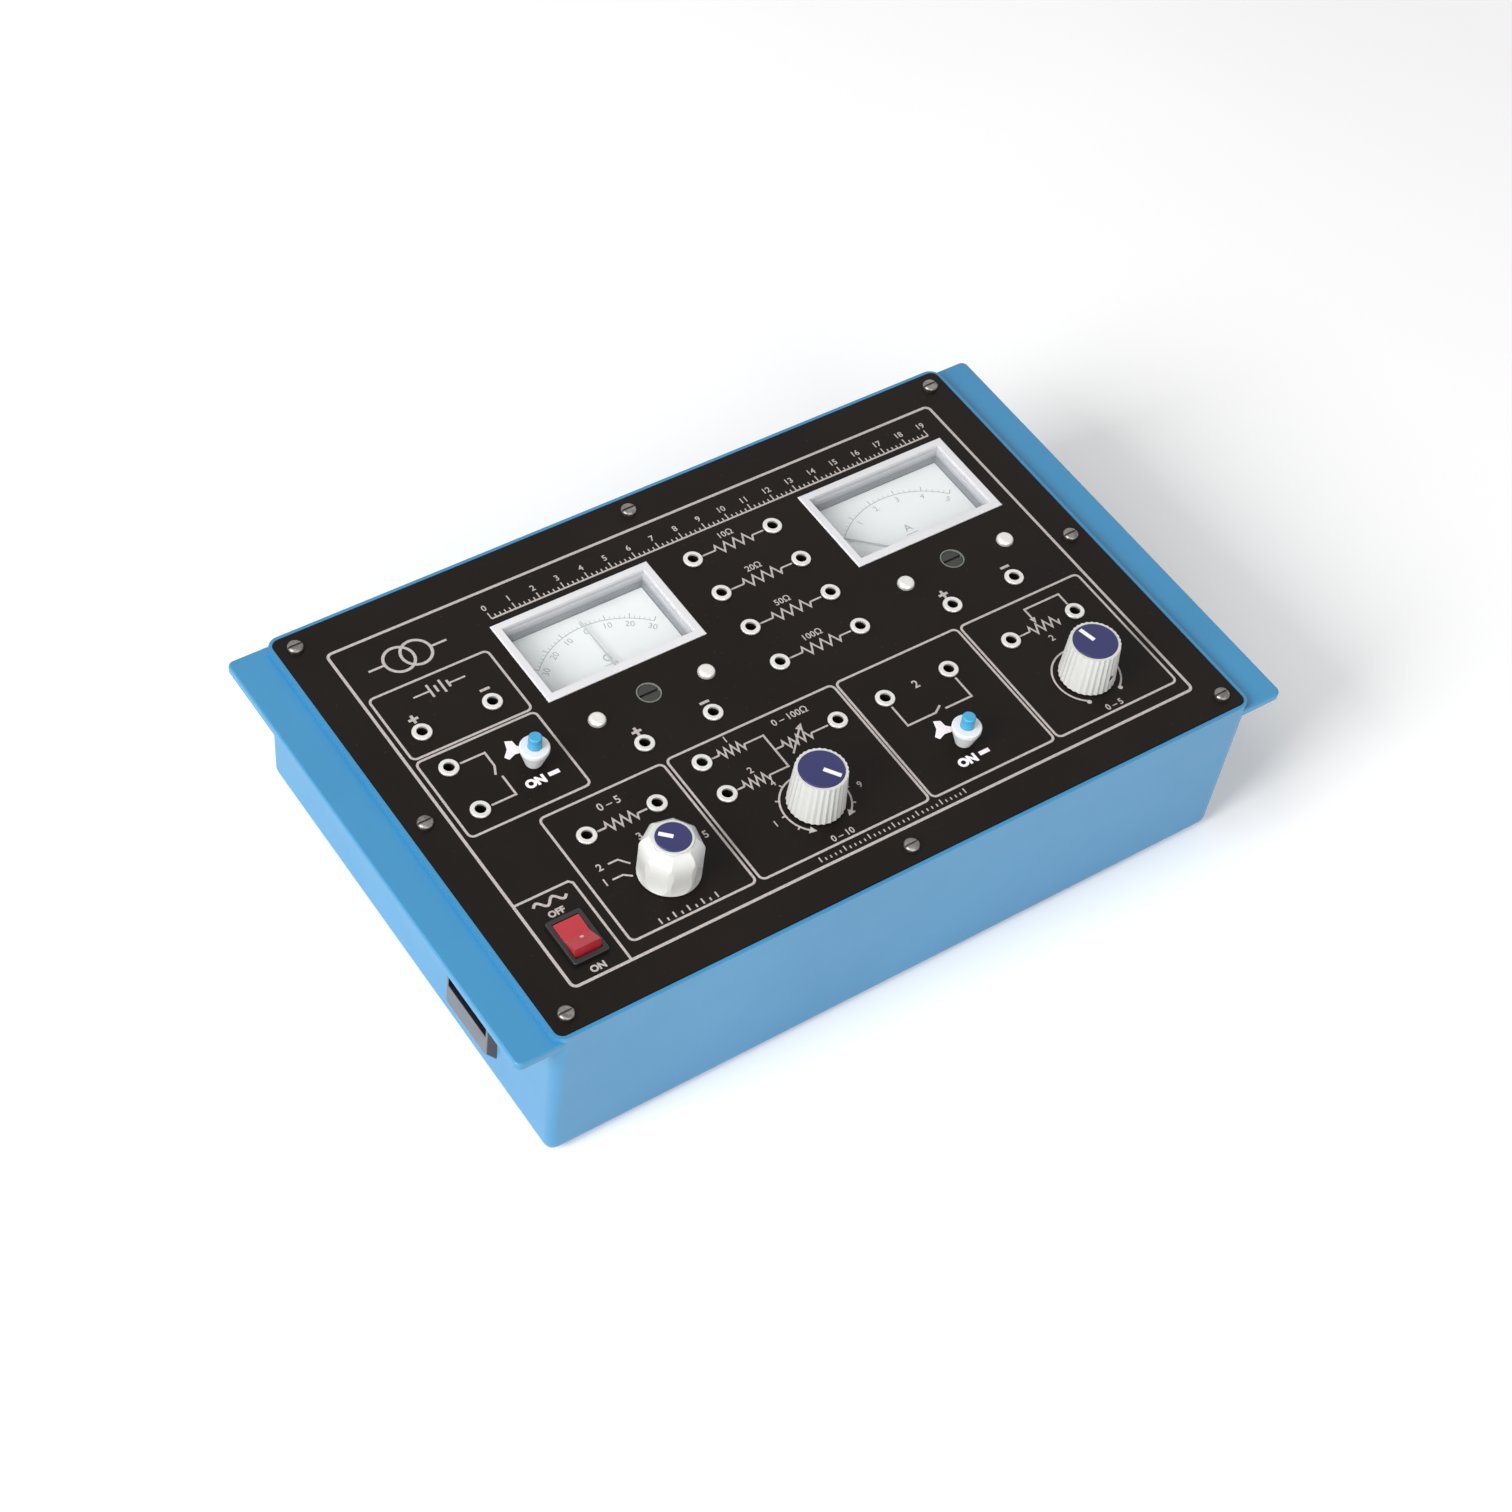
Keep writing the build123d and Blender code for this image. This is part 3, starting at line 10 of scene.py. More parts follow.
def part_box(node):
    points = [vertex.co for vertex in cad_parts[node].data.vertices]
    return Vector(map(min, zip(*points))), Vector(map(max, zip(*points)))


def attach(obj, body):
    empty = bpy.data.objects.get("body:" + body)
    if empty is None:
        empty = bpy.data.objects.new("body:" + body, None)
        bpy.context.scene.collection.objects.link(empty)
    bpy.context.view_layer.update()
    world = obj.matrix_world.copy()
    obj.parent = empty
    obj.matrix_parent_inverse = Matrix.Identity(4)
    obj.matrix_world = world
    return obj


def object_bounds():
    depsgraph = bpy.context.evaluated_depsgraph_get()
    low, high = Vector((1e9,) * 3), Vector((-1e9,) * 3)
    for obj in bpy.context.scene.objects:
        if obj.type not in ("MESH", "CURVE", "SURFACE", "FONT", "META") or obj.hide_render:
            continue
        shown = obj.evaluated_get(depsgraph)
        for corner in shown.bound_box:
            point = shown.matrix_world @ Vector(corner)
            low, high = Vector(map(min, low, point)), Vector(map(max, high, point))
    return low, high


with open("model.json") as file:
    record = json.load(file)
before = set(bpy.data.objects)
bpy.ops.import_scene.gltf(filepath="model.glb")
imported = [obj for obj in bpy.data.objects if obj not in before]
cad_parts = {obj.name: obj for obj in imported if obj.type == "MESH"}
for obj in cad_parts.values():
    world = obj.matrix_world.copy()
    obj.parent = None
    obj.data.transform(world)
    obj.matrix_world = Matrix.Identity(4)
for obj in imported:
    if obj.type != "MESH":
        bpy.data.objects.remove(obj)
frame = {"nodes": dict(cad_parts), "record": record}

cad_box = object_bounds()
MM = 0.001
WHITE = (1.0, 1.0, 1.0, 1.0)
BLACK = (0.0, 0.0, 0.0, 1.0)


# Places read from the frame, in millimetres
def middle(node):
    """The middle of a node, seen from above."""
    low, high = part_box(node)
    return ((low.x + high.x) / 2 / MM, (low.y + high.y) / 2 / MM)


def top(node):
    """The level of a node's highest point."""
    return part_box(node)[1].z / MM


# Small helpers for node materials
def srgb(red, green, blue):
    """A colour written as it looks, turned into the shader's linear values."""
    def linear(value):
        value = value / 255
        if value <= 0.04045:
            return value / 12.92
        return ((value + 0.055) / 1.055) ** 2.4
    return (linear(red), linear(green), linear(blue), 1.0)


class Surface:
    """A node material with short calls for the few nodes that it needs."""

    def __init__(self, name, **inputs):
        self.material = bpy.data.materials.new(name)
        self.material.use_nodes = True
        self.tree = self.material.node_tree
        self.shader = self.tree.nodes["Principled BSDF"]
        for key, value in inputs.items():
            self.shader.inputs[key.replace("_", " ")].default_value = value
        self.place = self.tree.nodes.new("ShaderNodeTexCoord").outputs["Object"]

    def node(self, kind, **settings):
        made = self.tree.nodes.new(kind)
        for key, value in settings.items():
            setattr(made, key, value)
        return made

    def link(self, source, target):
        self.tree.links.new(source, target)

    def feed(self, value, socket):
        """Link a socket to the input, or set a plain value on it."""
        if isinstance(value, bpy.types.NodeSocket):
            self.link(value, socket)
        else:
            socket.default_value = value

    def stretched(self, scale):
        mapping = self.node("ShaderNodeMapping")
        mapping.inputs["Scale"].default_value = scale
        self.link(self.place, mapping.inputs["Vector"])
        return mapping.outputs["Vector"]

    def noise(self, scale, detail, roughness, place=None):
        texture = self.node("ShaderNodeTexNoise")
        texture.inputs["Scale"].default_value = scale
        texture.inputs["Detail"].default_value = detail
        texture.inputs["Roughness"].default_value = roughness
        self.link(place or self.place, texture.inputs["Vector"])
        return texture.outputs["Fac"]

    def voronoi(self, scale):
        texture = self.node("ShaderNodeTexVoronoi")
        texture.inputs["Scale"].default_value = scale
        self.link(self.place, texture.inputs["Vector"])
        return texture.outputs["Distance"]

    def ramp(self, source, first, second):
        """A colour ramp between two stops, each a position and a colour."""
        ramp = self.node("ShaderNodeValToRGB")
        for element, (position, colour) in zip(ramp.color_ramp.elements, (first, second)):
            element.position = position
            element.color = colour
        self.link(source, ramp.inputs["Fac"])
        return ramp.outputs["Color"]

    def tones(self, source, dark, light):
        """A soft change between two tones."""
        return self.ramp(source, (0.3, dark), (0.7, light))

    def between(self, source, low, high, start=0.0, end=1.0):
        """A value that goes from low to high while the source goes from start to end."""
        spread = self.node("ShaderNodeMapRange")
        spread.inputs["From Min"].default_value = start
        spread.inputs["From Max"].default_value = end
        spread.inputs["To Min"].default_value = low
        spread.inputs["To Max"].default_value = high
        self.link(source, spread.inputs["Value"])
        return spread.outputs["Result"]

    def along(self, axis, start, end):
        """0 to 1 between two places along an axis of the object, in metres."""
        parts = self.node("ShaderNodeSeparateXYZ")
        self.link(self.place, parts.inputs["Vector"])
        return self.between(parts.outputs[axis], 0.0, 1.0, start, end)

    def mix(self, factor, first, second):
        mixer = self.node("ShaderNodeMix", data_type="RGBA")
        self.feed(factor, mixer.inputs["Factor"])
        self.feed(first, mixer.inputs["A"])
        self.feed(second, mixer.inputs["B"])
        return mixer.outputs["Result"]

    def marked(self, base, marks, share, colour):
        """The base colour with a share of another colour where the marks are white."""
        return self.mix(self.between(marks, 0.0, share), base, colour)

    def colour(self, source):
        self.link(source, self.shader.inputs["Base Color"])

    def rough(self, source, low, high):
        self.link(self.between(source, low, high), self.shader.inputs["Roughness"])

    def bump(self, source, strength, distance):
        bump = self.node("ShaderNodeBump")
        bump.inputs["Strength"].default_value = strength
        bump.inputs["Distance"].default_value = distance
        self.link(source, bump.inputs["Height"])
        self.link(bump.outputs["Normal"], self.shader.inputs["Normal"])


# Scales of the grains that several materials share
MOULD_GRAIN = 900.0
METAL_GRAIN = 420.0
FINE_PEEL = 500.0
SLOW_CHANGE = 26.0
HANDLING = 60.0

# How a grain is squeezed along the axes of the object
EVEN_GRAIN = (1.0, 1.0, 1.0)
DRAWN_ALONG_Z = (1.0, 1.0, 20.0)
STACKED_ALONG_Y = (1.0, 40.0, 1.0)


def mould_finish(surface, rough_low, rough_high, bump):
    """The fine grain of a moulding, in its gloss and its relief."""
    fine = surface.noise(MOULD_GRAIN, 2.0, 0.5)
    surface.rough(fine, rough_low, rough_high)
    surface.bump(fine, bump, 0.00012)


def metal_finish(surface, grain, rough_low, rough_high):
    """The turned or rolled grain of a metal, in its gloss and its relief."""
    surface.rough(grain, rough_low, rough_high)
    surface.bump(grain, 0.12, 0.00008)


def plastic(name, light, dark, rough_low=0.3, rough_high=0.42, bump=0.15):
    """Moulded plastic: a slow change of tone, a fine grain and a soft sheen."""
    surface = Surface(name)
    surface.colour(surface.tones(surface.noise(SLOW_CHANGE, 4.0, 0.55), dark, light))
    mould_finish(surface, rough_low, rough_high, bump)
    return surface.material


def metal(name, light, dark, rough_low, rough_high, stretch=EVEN_GRAIN, metallic=1.0):
    """Metal with a turned or rolled grain in its gloss."""
    surface = Surface(name, Metallic=metallic)
    grain = surface.noise(METAL_GRAIN, 4.0, 0.6, surface.stretched(stretch))
    surface.colour(surface.tones(grain, dark, light))
    metal_finish(surface, grain, rough_low, rough_high)
    return surface.material


def tub_plastic():
    """Sky blue moulded plastic, almost even, with a faint orange peel in its gloss."""
    surface = Surface(
        "tub_plastic", Specular_IOR_Level=0.55, Coat_Weight=0.25, Coat_Roughness=0.3
    )
    even = surface.tones(surface.noise(9.0, 5.0, 0.6), srgb(44, 125, 170), srgb(52, 134, 179))
    rubs = surface.ramp(surface.noise(240.0, 6.0, 0.75), (0.7, BLACK), (0.78, WHITE))
    surface.colour(surface.marked(even, rubs, 0.16, srgb(130, 182, 212)))
    surface.rough(surface.noise(HANDLING, 4.0, 0.6), 0.38, 0.48)
    surface.bump(surface.noise(300.0, 2.0, 0.5), 0.06, 0.00015)
    return surface.material


def panel_laminate():
    """Almost black satin laminate with a brown cast, dust and faint hair scratches."""
    surface = Surface("panel_laminate", Specular_IOR_Level=0.12)
    base = surface.tones(surface.noise(20.0, 5.0, 0.6), srgb(16, 11, 8), srgb(23, 17, 13))
    hairs = surface.noise(46.0, 3.0, 0.5, surface.stretched((1.0, 26.0, 1.0)))
    scratches = surface.ramp(hairs, (0.72, BLACK), (0.76, WHITE))
    scratched = surface.marked(base, scratches, 0.06, srgb(92, 86, 80))
    dust = surface.ramp(surface.voronoi(240.0), (0.035, WHITE), (0.05, BLACK))
    surface.colour(surface.marked(scratched, dust, 0.2, srgb(120, 112, 104)))
    surface.rough(surface.noise(HANDLING, 4.0, 0.6), 0.34, 0.46)
    surface.bump(surface.noise(FINE_PEEL, 2.0, 0.5), 0.05, 0.0001)
    return surface.material


def print_ink(name, light, dark):
    """Screen print: thin ink whose density varies a little."""
    surface = Surface(name, Specular_IOR_Level=0.3)
    grain = surface.noise(1500.0, 2.0, 0.6)
    surface.colour(surface.ramp(grain, (0.3, dark), (0.65, light)))
    surface.rough(grain, 0.45, 0.6)
    return surface.material


def meter_plastic():
    """Moulding of the meters: a pale rim, greyer down its inside as painted shade in the
    recess, and greyer on the zero collars.
    """
    surface = Surface("meter_plastic")
    slow = surface.noise(SLOW_CHANGE, 4.0, 0.55)
    pale = surface.tones(slow, srgb(213, 212, 215), srgb(223, 222, 225))
    # painted shade: grey that darkens the rim's inside wall lower down the recess, below the
    # lit top
    painted_shade_tone = surface.tones(slow, srgb(128, 130, 136), srgb(140, 142, 148))
    rim_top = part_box("galvanometer_cover")[1].z
    painted_shade_rise = surface.along("Z", rim_top - 5.0 * MM, rim_top - 0.4 * MM)
    rim = surface.mix(painted_shade_rise, painted_shade_tone, pale)
    mottle = surface.noise(300.0, 3.0, 0.5)
    collar = surface.tones(mottle, srgb(104, 108, 100), srgb(122, 126, 118))
    collar_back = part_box("galvanometer_zero_screw")[1].y + MM
    behind_collar = surface.along("Y", collar_back, collar_back + MM)
    surface.colour(surface.mix(behind_collar, collar, rim))
    surface.rough(slow, 0.32, 0.42)
    surface.bump(surface.noise(FINE_PEEL, 2.0, 0.5), 0.03, 0.0001)
    return surface.material


def socket_plating():
    """Bright ring of a socket over a bore that is darkened as painted shade."""
    surface = Surface("socket_plating")
    grain = surface.noise(METAL_GRAIN, 4.0, 0.6)
    bright = surface.tones(grain, srgb(216, 213, 208), srgb(230, 227, 222))
    # painted shade: a near black tone for the bore below the ring, where shade falls in the
    # hole
    dark = surface.tones(grain, srgb(20, 18, 17), srgb(34, 31, 29))
    ring_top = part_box("banana_sockets")[1].z
    painted_shade_rise = surface.along("Z", ring_top - 0.9 * MM, ring_top - 0.4 * MM)
    surface.colour(surface.mix(painted_shade_rise, dark, bright))
    surface.link(surface.between(painted_shade_rise, 0.0, 0.55), surface.shader.inputs["Metallic"])
    metal_finish(surface, grain, 0.2, 0.3)
    return surface.material


def inlet_plastic():
    """Black moulding of the mains inlet, with its outer face painted lighter as painted light
    from the lamp at the left.
    """
    surface = Surface("inlet_plastic")
    black = surface.tones(surface.noise(HANDLING, 3.0, 0.5), srgb(20, 21, 29), srgb(30, 32, 42))
    # painted light: a grey tone on the outer face that looks to the left, standing in for the
    # light falling on it
    painted_lit_face = surface.tones(surface.noise(120.0, 4.0, 0.6), srgb(84, 86, 92), srgb(98, 100, 106))
    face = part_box("mains_inlet")[0].x
    inward = surface.along("X", face + 0.1 * MM, face + 0.3 * MM)
    surface.colour(surface.mix(inward, painted_lit_face, black))
    mould_finish(surface, 0.3, 0.42, 0.15)
    return surface.material


def clear_pane():
    """Thin clear pane: faint in itself, with smears in its gloss."""
    surface = Surface("clear_pane", Specular_IOR_Level=1.0)
    smear = surface.noise(HANDLING, 4.0, 0.6)
    surface.colour(surface.tones(smear, srgb(226, 232, 234), srgb(240, 244, 245)))
    surface.rough(smear, 0.03, 0.08)
    surface.link(surface.between(smear, 0.05, 0.1), surface.shader.inputs["Alpha"])
    return surface.material


def winding_tape():
    """Yellow tape over a winding, with its turns showing."""
    surface = Surface("winding_tape", Specular_IOR_Level=0.4)
    turns = surface.noise(120.0, 2.0, 0.5, surface.stretched((1.0, 1.0, 18.0)))
    surface.colour(surface.ramp(turns, (0.35, srgb(190, 140, 30)), (0.65, srgb(222, 178, 62))))
    surface.rough(turns, 0.35, 0.5)
    surface.bump(turns, 0.3, 0.0003)
    return surface.material


# Light tone, dark tone, least and most roughness, and for some the grain and how metallic
METALS = {
    "screw_steel": (srgb(150, 146, 142), srgb(104, 101, 98), 0.3, 0.45),
    "bright_plating": (srgb(232, 229, 224), srgb(220, 217, 212), 0.2, 0.3, EVEN_GRAIN, 0.55),
    "turned_brass": (srgb(214, 178, 104), srgb(176, 138, 72), 0.25, 0.4),
    "tinned_sheet": (srgb(205, 205, 202), srgb(165, 165, 162), 0.3, 0.5),
    "magnet_iron": (srgb(120, 120, 122), srgb(80, 80, 82), 0.35, 0.55),
    "copper_wire": (srgb(200, 120, 76), srgb(140, 72, 40), 0.3, 0.45, DRAWN_ALONG_Z),
    "core_steel": (srgb(130, 124, 118), srgb(84, 80, 76), 0.4, 0.6, STACKED_ALONG_Y),
    "case_metal": (srgb(190, 190, 190), srgb(150, 150, 150), 0.3, 0.5),
    "shaft_metal": (srgb(210, 210, 210), srgb(170, 170, 170), 0.22, 0.4),
}

# Light tone, dark tone, and for some the least and most roughness and the relief
PLASTICS = {
    "base_plastic": (srgb(120, 122, 128), srgb(106, 108, 114), 0.3, 0.42, 0.04),
    "dial_paint": (srgb(240, 243, 243), srgb(234, 238, 238), 0.5, 0.6, 0.02),
    "pointer_metal": (srgb(184, 188, 191), srgb(172, 176, 179)),
    "adjuster_plastic": (srgb(52, 54, 48), srgb(34, 35, 31)),
    "knob_plastic": (srgb(213, 213, 210), srgb(203, 203, 200), 0.28, 0.4),
    "cap_plastic": (srgb(38, 39, 96), srgb(31, 32, 82)),
    "key_plastic": (srgb(232, 234, 236), srgb(218, 220, 222), 0.25, 0.36),
    "button_plastic": (srgb(70, 168, 208), srgb(54, 150, 194)),
    "black_plastic": (srgb(27, 23, 26), srgb(17, 15, 17), 0.3, 0.45),
    "rocker_plastic": (srgb(184, 46, 56), srgb(164, 36, 48), 0.24, 0.34, 0.04),
    "track_carbon": (srgb(40, 36, 34), srgb(26, 24, 22), 0.5, 0.7),
    "board_laminate": (srgb(44, 122, 72), srgb(30, 98, 56)),
    "capacitor_sleeve": (srgb(34, 48, 96), srgb(24, 36, 78)),
    "diode_plastic": (srgb(36, 36, 38), srgb(22, 22, 24)),
    "resistor_ceramic": (srgb(196, 162, 110), srgb(170, 136, 88)),
}

# One material for each slot that the record names
MATERIALS = {
    "tub_plastic": tub_plastic(),
    "panel_laminate": panel_laminate(),
    "meter_plastic": meter_plastic(),
    "clear_pane": clear_pane(),
    "winding_tape": winding_tape(),
}
for name, look in METALS.items():
    MATERIALS[name] = metal(name, *look)
for name, look in PLASTICS.items():
    MATERIALS[name] = plastic(name, *look)

# Nodes whose painted light and painted shade set them apart from the others in their slot
OWN_LOOKS = {"mains_inlet": inlet_plastic(), "banana_sockets": socket_plating()}

PANEL_INK = print_ink("panel_ink", srgb(194, 186, 182), srgb(160, 152, 148))
DIAL_INK = print_ink("dial_ink", srgb(176, 180, 182), srgb(152, 156, 158))
CAP_INK = print_ink("cap_ink", srgb(246, 247, 252), srgb(226, 228, 240))
KEY_INK = print_ink("key_ink", srgb(250, 244, 248), srgb(230, 224, 230))
MARK_INK = print_ink("mark_ink", srgb(240, 176, 176), srgb(226, 150, 152))

for part in frame["record"]["subparts"]:
    cad = frame["nodes"][part["node"]]
    cad.data.materials.clear()
    cad.data.materials.append(OWN_LOOKS.get(part["node"], MATERIALS[part["material_slot"]]))


# Flat print: how far it lies above its surface, and each stroke above the last
PRINT_LIFT = 0.03
STROKE_LIFT = 0.0002

# Widths of lines
FINE, TICK, LEAD, LINE, THICK, BORDER = 0.5, 0.6, 0.7, 0.8, 0.9, 1.1

# How much letters are thickened
THIN, LIGHT, MEDIUM, STRONG, HEAVY, BOLD = 0.04, 0.06, 0.08, 0.1, 0.16, 0.3

FONT_SCALE = 1.38
MITRE_LIMIT = 0.35
ZIGZAG_PEAKS = 4
CORNER_RADIUS = 2.0


def polar(centre, radius, angle):
    """The point at a radius and an angle in degrees from a centre."""
    turn = math.radians(angle)
    return (centre[0] + radius * math.cos(turn), centre[1] + radius * math.sin(turn))


class Print:
    """Collects flat strokes, rings and labels in millimetres, and makes one piece of them."""

    def __init__(self, level, origin=(0.0, 0.0)):
        self.mesh = bmesh.new()
        self.level = level
        self.origin = origin

    def corner(self, x, y):
        return self.mesh.verts.new(
            ((x + self.origin[0]) * MM, (y + self.origin[1]) * MM, self.level * MM)
        )

    def lift(self):
        """Put the next element a hair above the last, so that crossings stay clean."""
        self.level += STROKE_LIFT

    def stroke(self, points, width=LINE, closed=False):
        """A line of even width through the points, with mitred corners."""
        self.lift()
        points = [Vector(p) for p in points]
        count = len(points)
        corners = []
        for i, point in enumerate(points):
            ways = []
            if i > 0 or closed:
                ways.append((point - points[i - 1]).normalized())
            if i < count - 1 or closed:
                ways.append((points[(i + 1) % count] - point).normalized())
            first, second = ways[0], ways[-1]
            bisector = (first + second).normalized()
            across = Vector((-bisector.y, bisector.x))
            reach = width / 2 / max(MITRE_LIMIT, across.dot(Vector((-first.y, first.x))))
            corners.append(
                (self.corner(*(point + across * reach)), self.corner(*(point - across * reach)))
            )
        for i in range(count if closed else count - 1):
            a, b = corners[i], corners[(i + 1) % count]
            self.mesh.faces.new((a[0], a[1], b[1], b[0]))

    def shape(self, points):
        self.lift()
        self.mesh.faces.new([self.corner(*p) for p in points])

    def arc(self, centre, radius, start, end, width):
        """A line along a circle, from one angle to another in degrees."""
        steps = max(8, int(abs(end - start) / 6))
        angles = [start + (end - start) * i / steps for i in range(steps + 1)]
        self.stroke([polar(centre, radius, angle) for angle in angles], width)

    def ring(self, centre, radius, width):
        around = [polar(centre, radius, angle) for angle in range(0, 360, 9)]
        self.stroke(around, width, closed=True)

    def dot(self, centre, radius):
        self.shape([polar(centre, radius, angle) for angle in range(0, 360, 18)])

    def box(self, left, right, front, back, width=THICK):
        """An outline of a rectangle with round corners."""
        radius = CORNER_RADIUS
        points = []
        for cx, cy, start in (
            (right - radius, back - radius, 0),
            (left + radius, back - radius, 90),
            (left + radius, front + radius, 180),
            (right - radius, front + radius, 270),
        ):
            points += [polar((cx, cy), radius, start + step * 22.5) for step in range(5)]
        self.stroke(points, width, closed=True)

    def zigzag(self, start, end, reach):
        """The body of a resistor symbol, without its leads."""
        a, b = Vector(start), Vector(end)
        along = b - a
        side = Vector((-along.y, along.x)).normalized() * reach
        turns = 2 * ZIGZAG_PEAKS
        points = [a]
        for i in range(turns):
            sign = 1 if i % 2 == 0 else -1
            points.append(a + along * (i + 0.5) / turns + side * sign)
        points.append(b)
        self.stroke(points, LEAD)

    def resistor(self, row, left, start, end, right, reach, width=LEAD):
        """A resistor symbol along a row, with a lead at each end."""
        self.stroke([(left, row), (start, row)], width)
        self.zigzag((start, row), (end, row), reach)
        self.stroke([(end, row), (right, row)], width)

    def sign(self, x, y, positive):
        """A plus or a minus beside a socket."""
        reach = 1.9
        self.stroke([(x - reach, y), (x + reach, y)], BORDER)
        if positive:
            self.stroke([(x, y - reach), (x, y + reach)], BORDER)

    def ticks(self, left, level, count, pitch, every, tall, short, width):
        """A row of upright ticks, one in every few of them taller."""
        for i in range(count):
            x = left + pitch * i
            height = tall if i % every == 0 else short
            self.stroke([(x, level), (x, level + height)], width)

    def label(self, text, centre, height, heavy, turn=0.0):
        """Plain lettering, turned about its centre by an angle in degrees."""
        self.lift()
        curve = bpy.data.curves.new("label", "FONT")
        curve.body = text
        curve.size = height * FONT_SCALE * MM
        curve.align_x = "CENTER"
        curve.align_y = "CENTER"
        curve.resolution_u = 3
        curve.offset = heavy * MM
        holder = bpy.data.objects.new("label", curve)
        bpy.context.scene.collection.objects.link(holder)
        bpy.context.view_layer.update()
        flat = bpy.data.meshes.new_from_object(
            holder.evaluated_get(bpy.context.evaluated_depsgraph_get())
        )
        x, y = centre[0] + self.origin[0], centre[1] + self.origin[1]
        flat.transform(
            Matrix.Translation((x * MM, y * MM, self.level * MM))
            @ Matrix.Rotation(math.radians(turn), 4, "Z")
        )
        self.mesh.from_mesh(flat)
        bpy.data.objects.remove(holder)
        bpy.data.curves.remove(curve)
        bpy.data.meshes.remove(flat)

    def piece(self, name, material, body):
        bmesh.ops.recalc_face_normals(self.mesh, faces=self.mesh.faces)
        for face in self.mesh.faces:
            if face.normal.z < 0:
                face.normal_flip()
        data = bpy.data.meshes.new(name)
        self.mesh.to_mesh(data)
        self.mesh.free()
        data.materials.append(material)
        made = bpy.data.objects.new(name, data)
        bpy.context.scene.collection.objects.link(made)
        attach(made, body)
        return made


# Print of the panel: x to the right and y to the back, from the panel's middle
KNOB_RING_RADIUS = 12.4
SYMBOL_ROW = 49.0
TRANSFORMER_ROW = 66.5


def panel_frames(ink):
    """The border and the boxes that group the controls."""
    ink.box(-128.5, 129.0, -80.5, 80.0, BORDER)
    ink.box(-126.0, -79.0, 25.2, 55.5)
    ink.box(-126.0, -79.0, -12.5, 23.8)
    ink.box(-102.5, -53.5, -74.5, -16.8)
    ink.box(-51.7, 17.5, -74.8, -16.2)
    ink.box(18.8, 71.5, -74.8, -16.2)
    ink.box(73.0, 126.3, -74.8, -16.2)
    ink.stroke([(-128.3, -43.5), (-107.6, -43.5), (-106.4, -44.7), (-106.4, -80.2)], THICK)


def panel_supply(ink):
    """Direct current output: signs and a battery symbol."""
    ink.sign(-116.8, 40.8, True)
    ink.sign(-88.8, 40.6, False)
    ink.stroke([(-112.0, SYMBOL_ROW), (-105.4, SYMBOL_ROW)], LEAD)
    for i in range(4):
        x = -105.4 + 2.4 * i
        reach = 3.0 if i % 2 == 0 else 1.6
        ink.stroke([(x, SYMBOL_ROW - reach), (x, SYMBOL_ROW + reach)], THICK)
    ink.stroke([(-98.2, SYMBOL_ROW), (-91.6, SYMBOL_ROW)], LEAD)


def panel_mains_symbol(ink):
    """A transformer symbol at the top left of the panel."""
    for x in (-107.5, -100.7):
        ink.ring((x, TRANSFORMER_ROW), 5.6, BORDER)
    for left, right in ((-119.5, -113.1), (-95.1, -88.7)):
        ink.stroke([(left, TRANSFORMER_ROW), (right, TRANSFORMER_ROW)], THICK)


def panel_rule(ink):
    """A plain graduated rule along the top of the panel."""
    left, right, level, pitch = -70.0, 120.0, 67.2, 2
    ink.stroke([(left, level), (right, level)], LEAD)
    for i in range(int((right - left) / pitch) + 1):
        x = left + pitch * i
        tall = 3.0 if i % 5 == 0 else 1.6
        ink.stroke([(x, level), (x, level + tall)], FINE)
        if i % 5 == 0:
            ink.label(str(i // 5), (x, level + 5.4), 2.6, LIGHT)


def panel_keys(ink):
    """The circuits of the two push keys."""
    ink.stroke([(-112.9, 16.5), (-103.3, 16.5), (-103.3, 10.0), (-105.0, 6.5)])
    ink.stroke([(-103.3, 5.0), (-103.3, -4.0), (-112.9, -4.0)])
    ink.stroke([(30.0, -34.8), (30.0, -44.5), (42.0, -44.5), (45.2, -42.4)])
    ink.stroke([(46.2, -44.5), (57.6, -44.5), (57.6, -34.8)])
    ink.label("2", (43.5, -30.5), 3.4, STRONG)


def panel_resistors(ink):
    """Four resistor symbols between the socket pairs, with plain values."""
    for row, value in ((56.6, "10"), (38.1, "20"), (19.6, "50"), (1.1, "100")):
        ink.resistor(row, 11.3, 17.0, 33.0, 37.8, 2.1)
        ink.label(value + "Ω", (24.6, row + 5.3), 2.7, LIGHT)


def panel_meters(ink):
    """Signs above the meter sockets."""
    ink.sign(-53.5, -0.8, True)
    ink.sign(-26.0, -1.2, False)
    ink.sign(77.2, -0.8, True)
    ink.sign(105.0, -0.8, False)


def panel_shunt(ink):
    """The shunt: its resistor symbol and the numbered switch positions."""
    ink.resistor(-30.8, -88.3, -84.8, -72.4, -68.5, 2.0, LINE)
    ink.label("0 – 5", (-78.5, -22.6), 3.2, MEDIUM)
    ink.label("3", (-77.0, -39.4), 3.0, MEDIUM)
    ink.label("2", (-95.6, -44.0), 3.0, MEDIUM)
    ink.stroke([(-92.4, -44.0), (-88.6, -44.0), (-85.8, -47.4)], LEAD)
    ink.label("1", (-97.2, -50.2), 3.0, MEDIUM)
    ink.stroke([(-94.6, -50.2), (-90.4, -50.2), (-87.8, -52.2)], LEAD)
    ink.label("5", (-57.4, -49.6), 3.0, MEDIUM)
    ink.stroke([(-61.0, -49.6), (-64.2, -51.4)], LEAD)
    ink.ticks(-90.0, -73.4, 9, 2.75, 2, 2.4, 1.3, TICK)


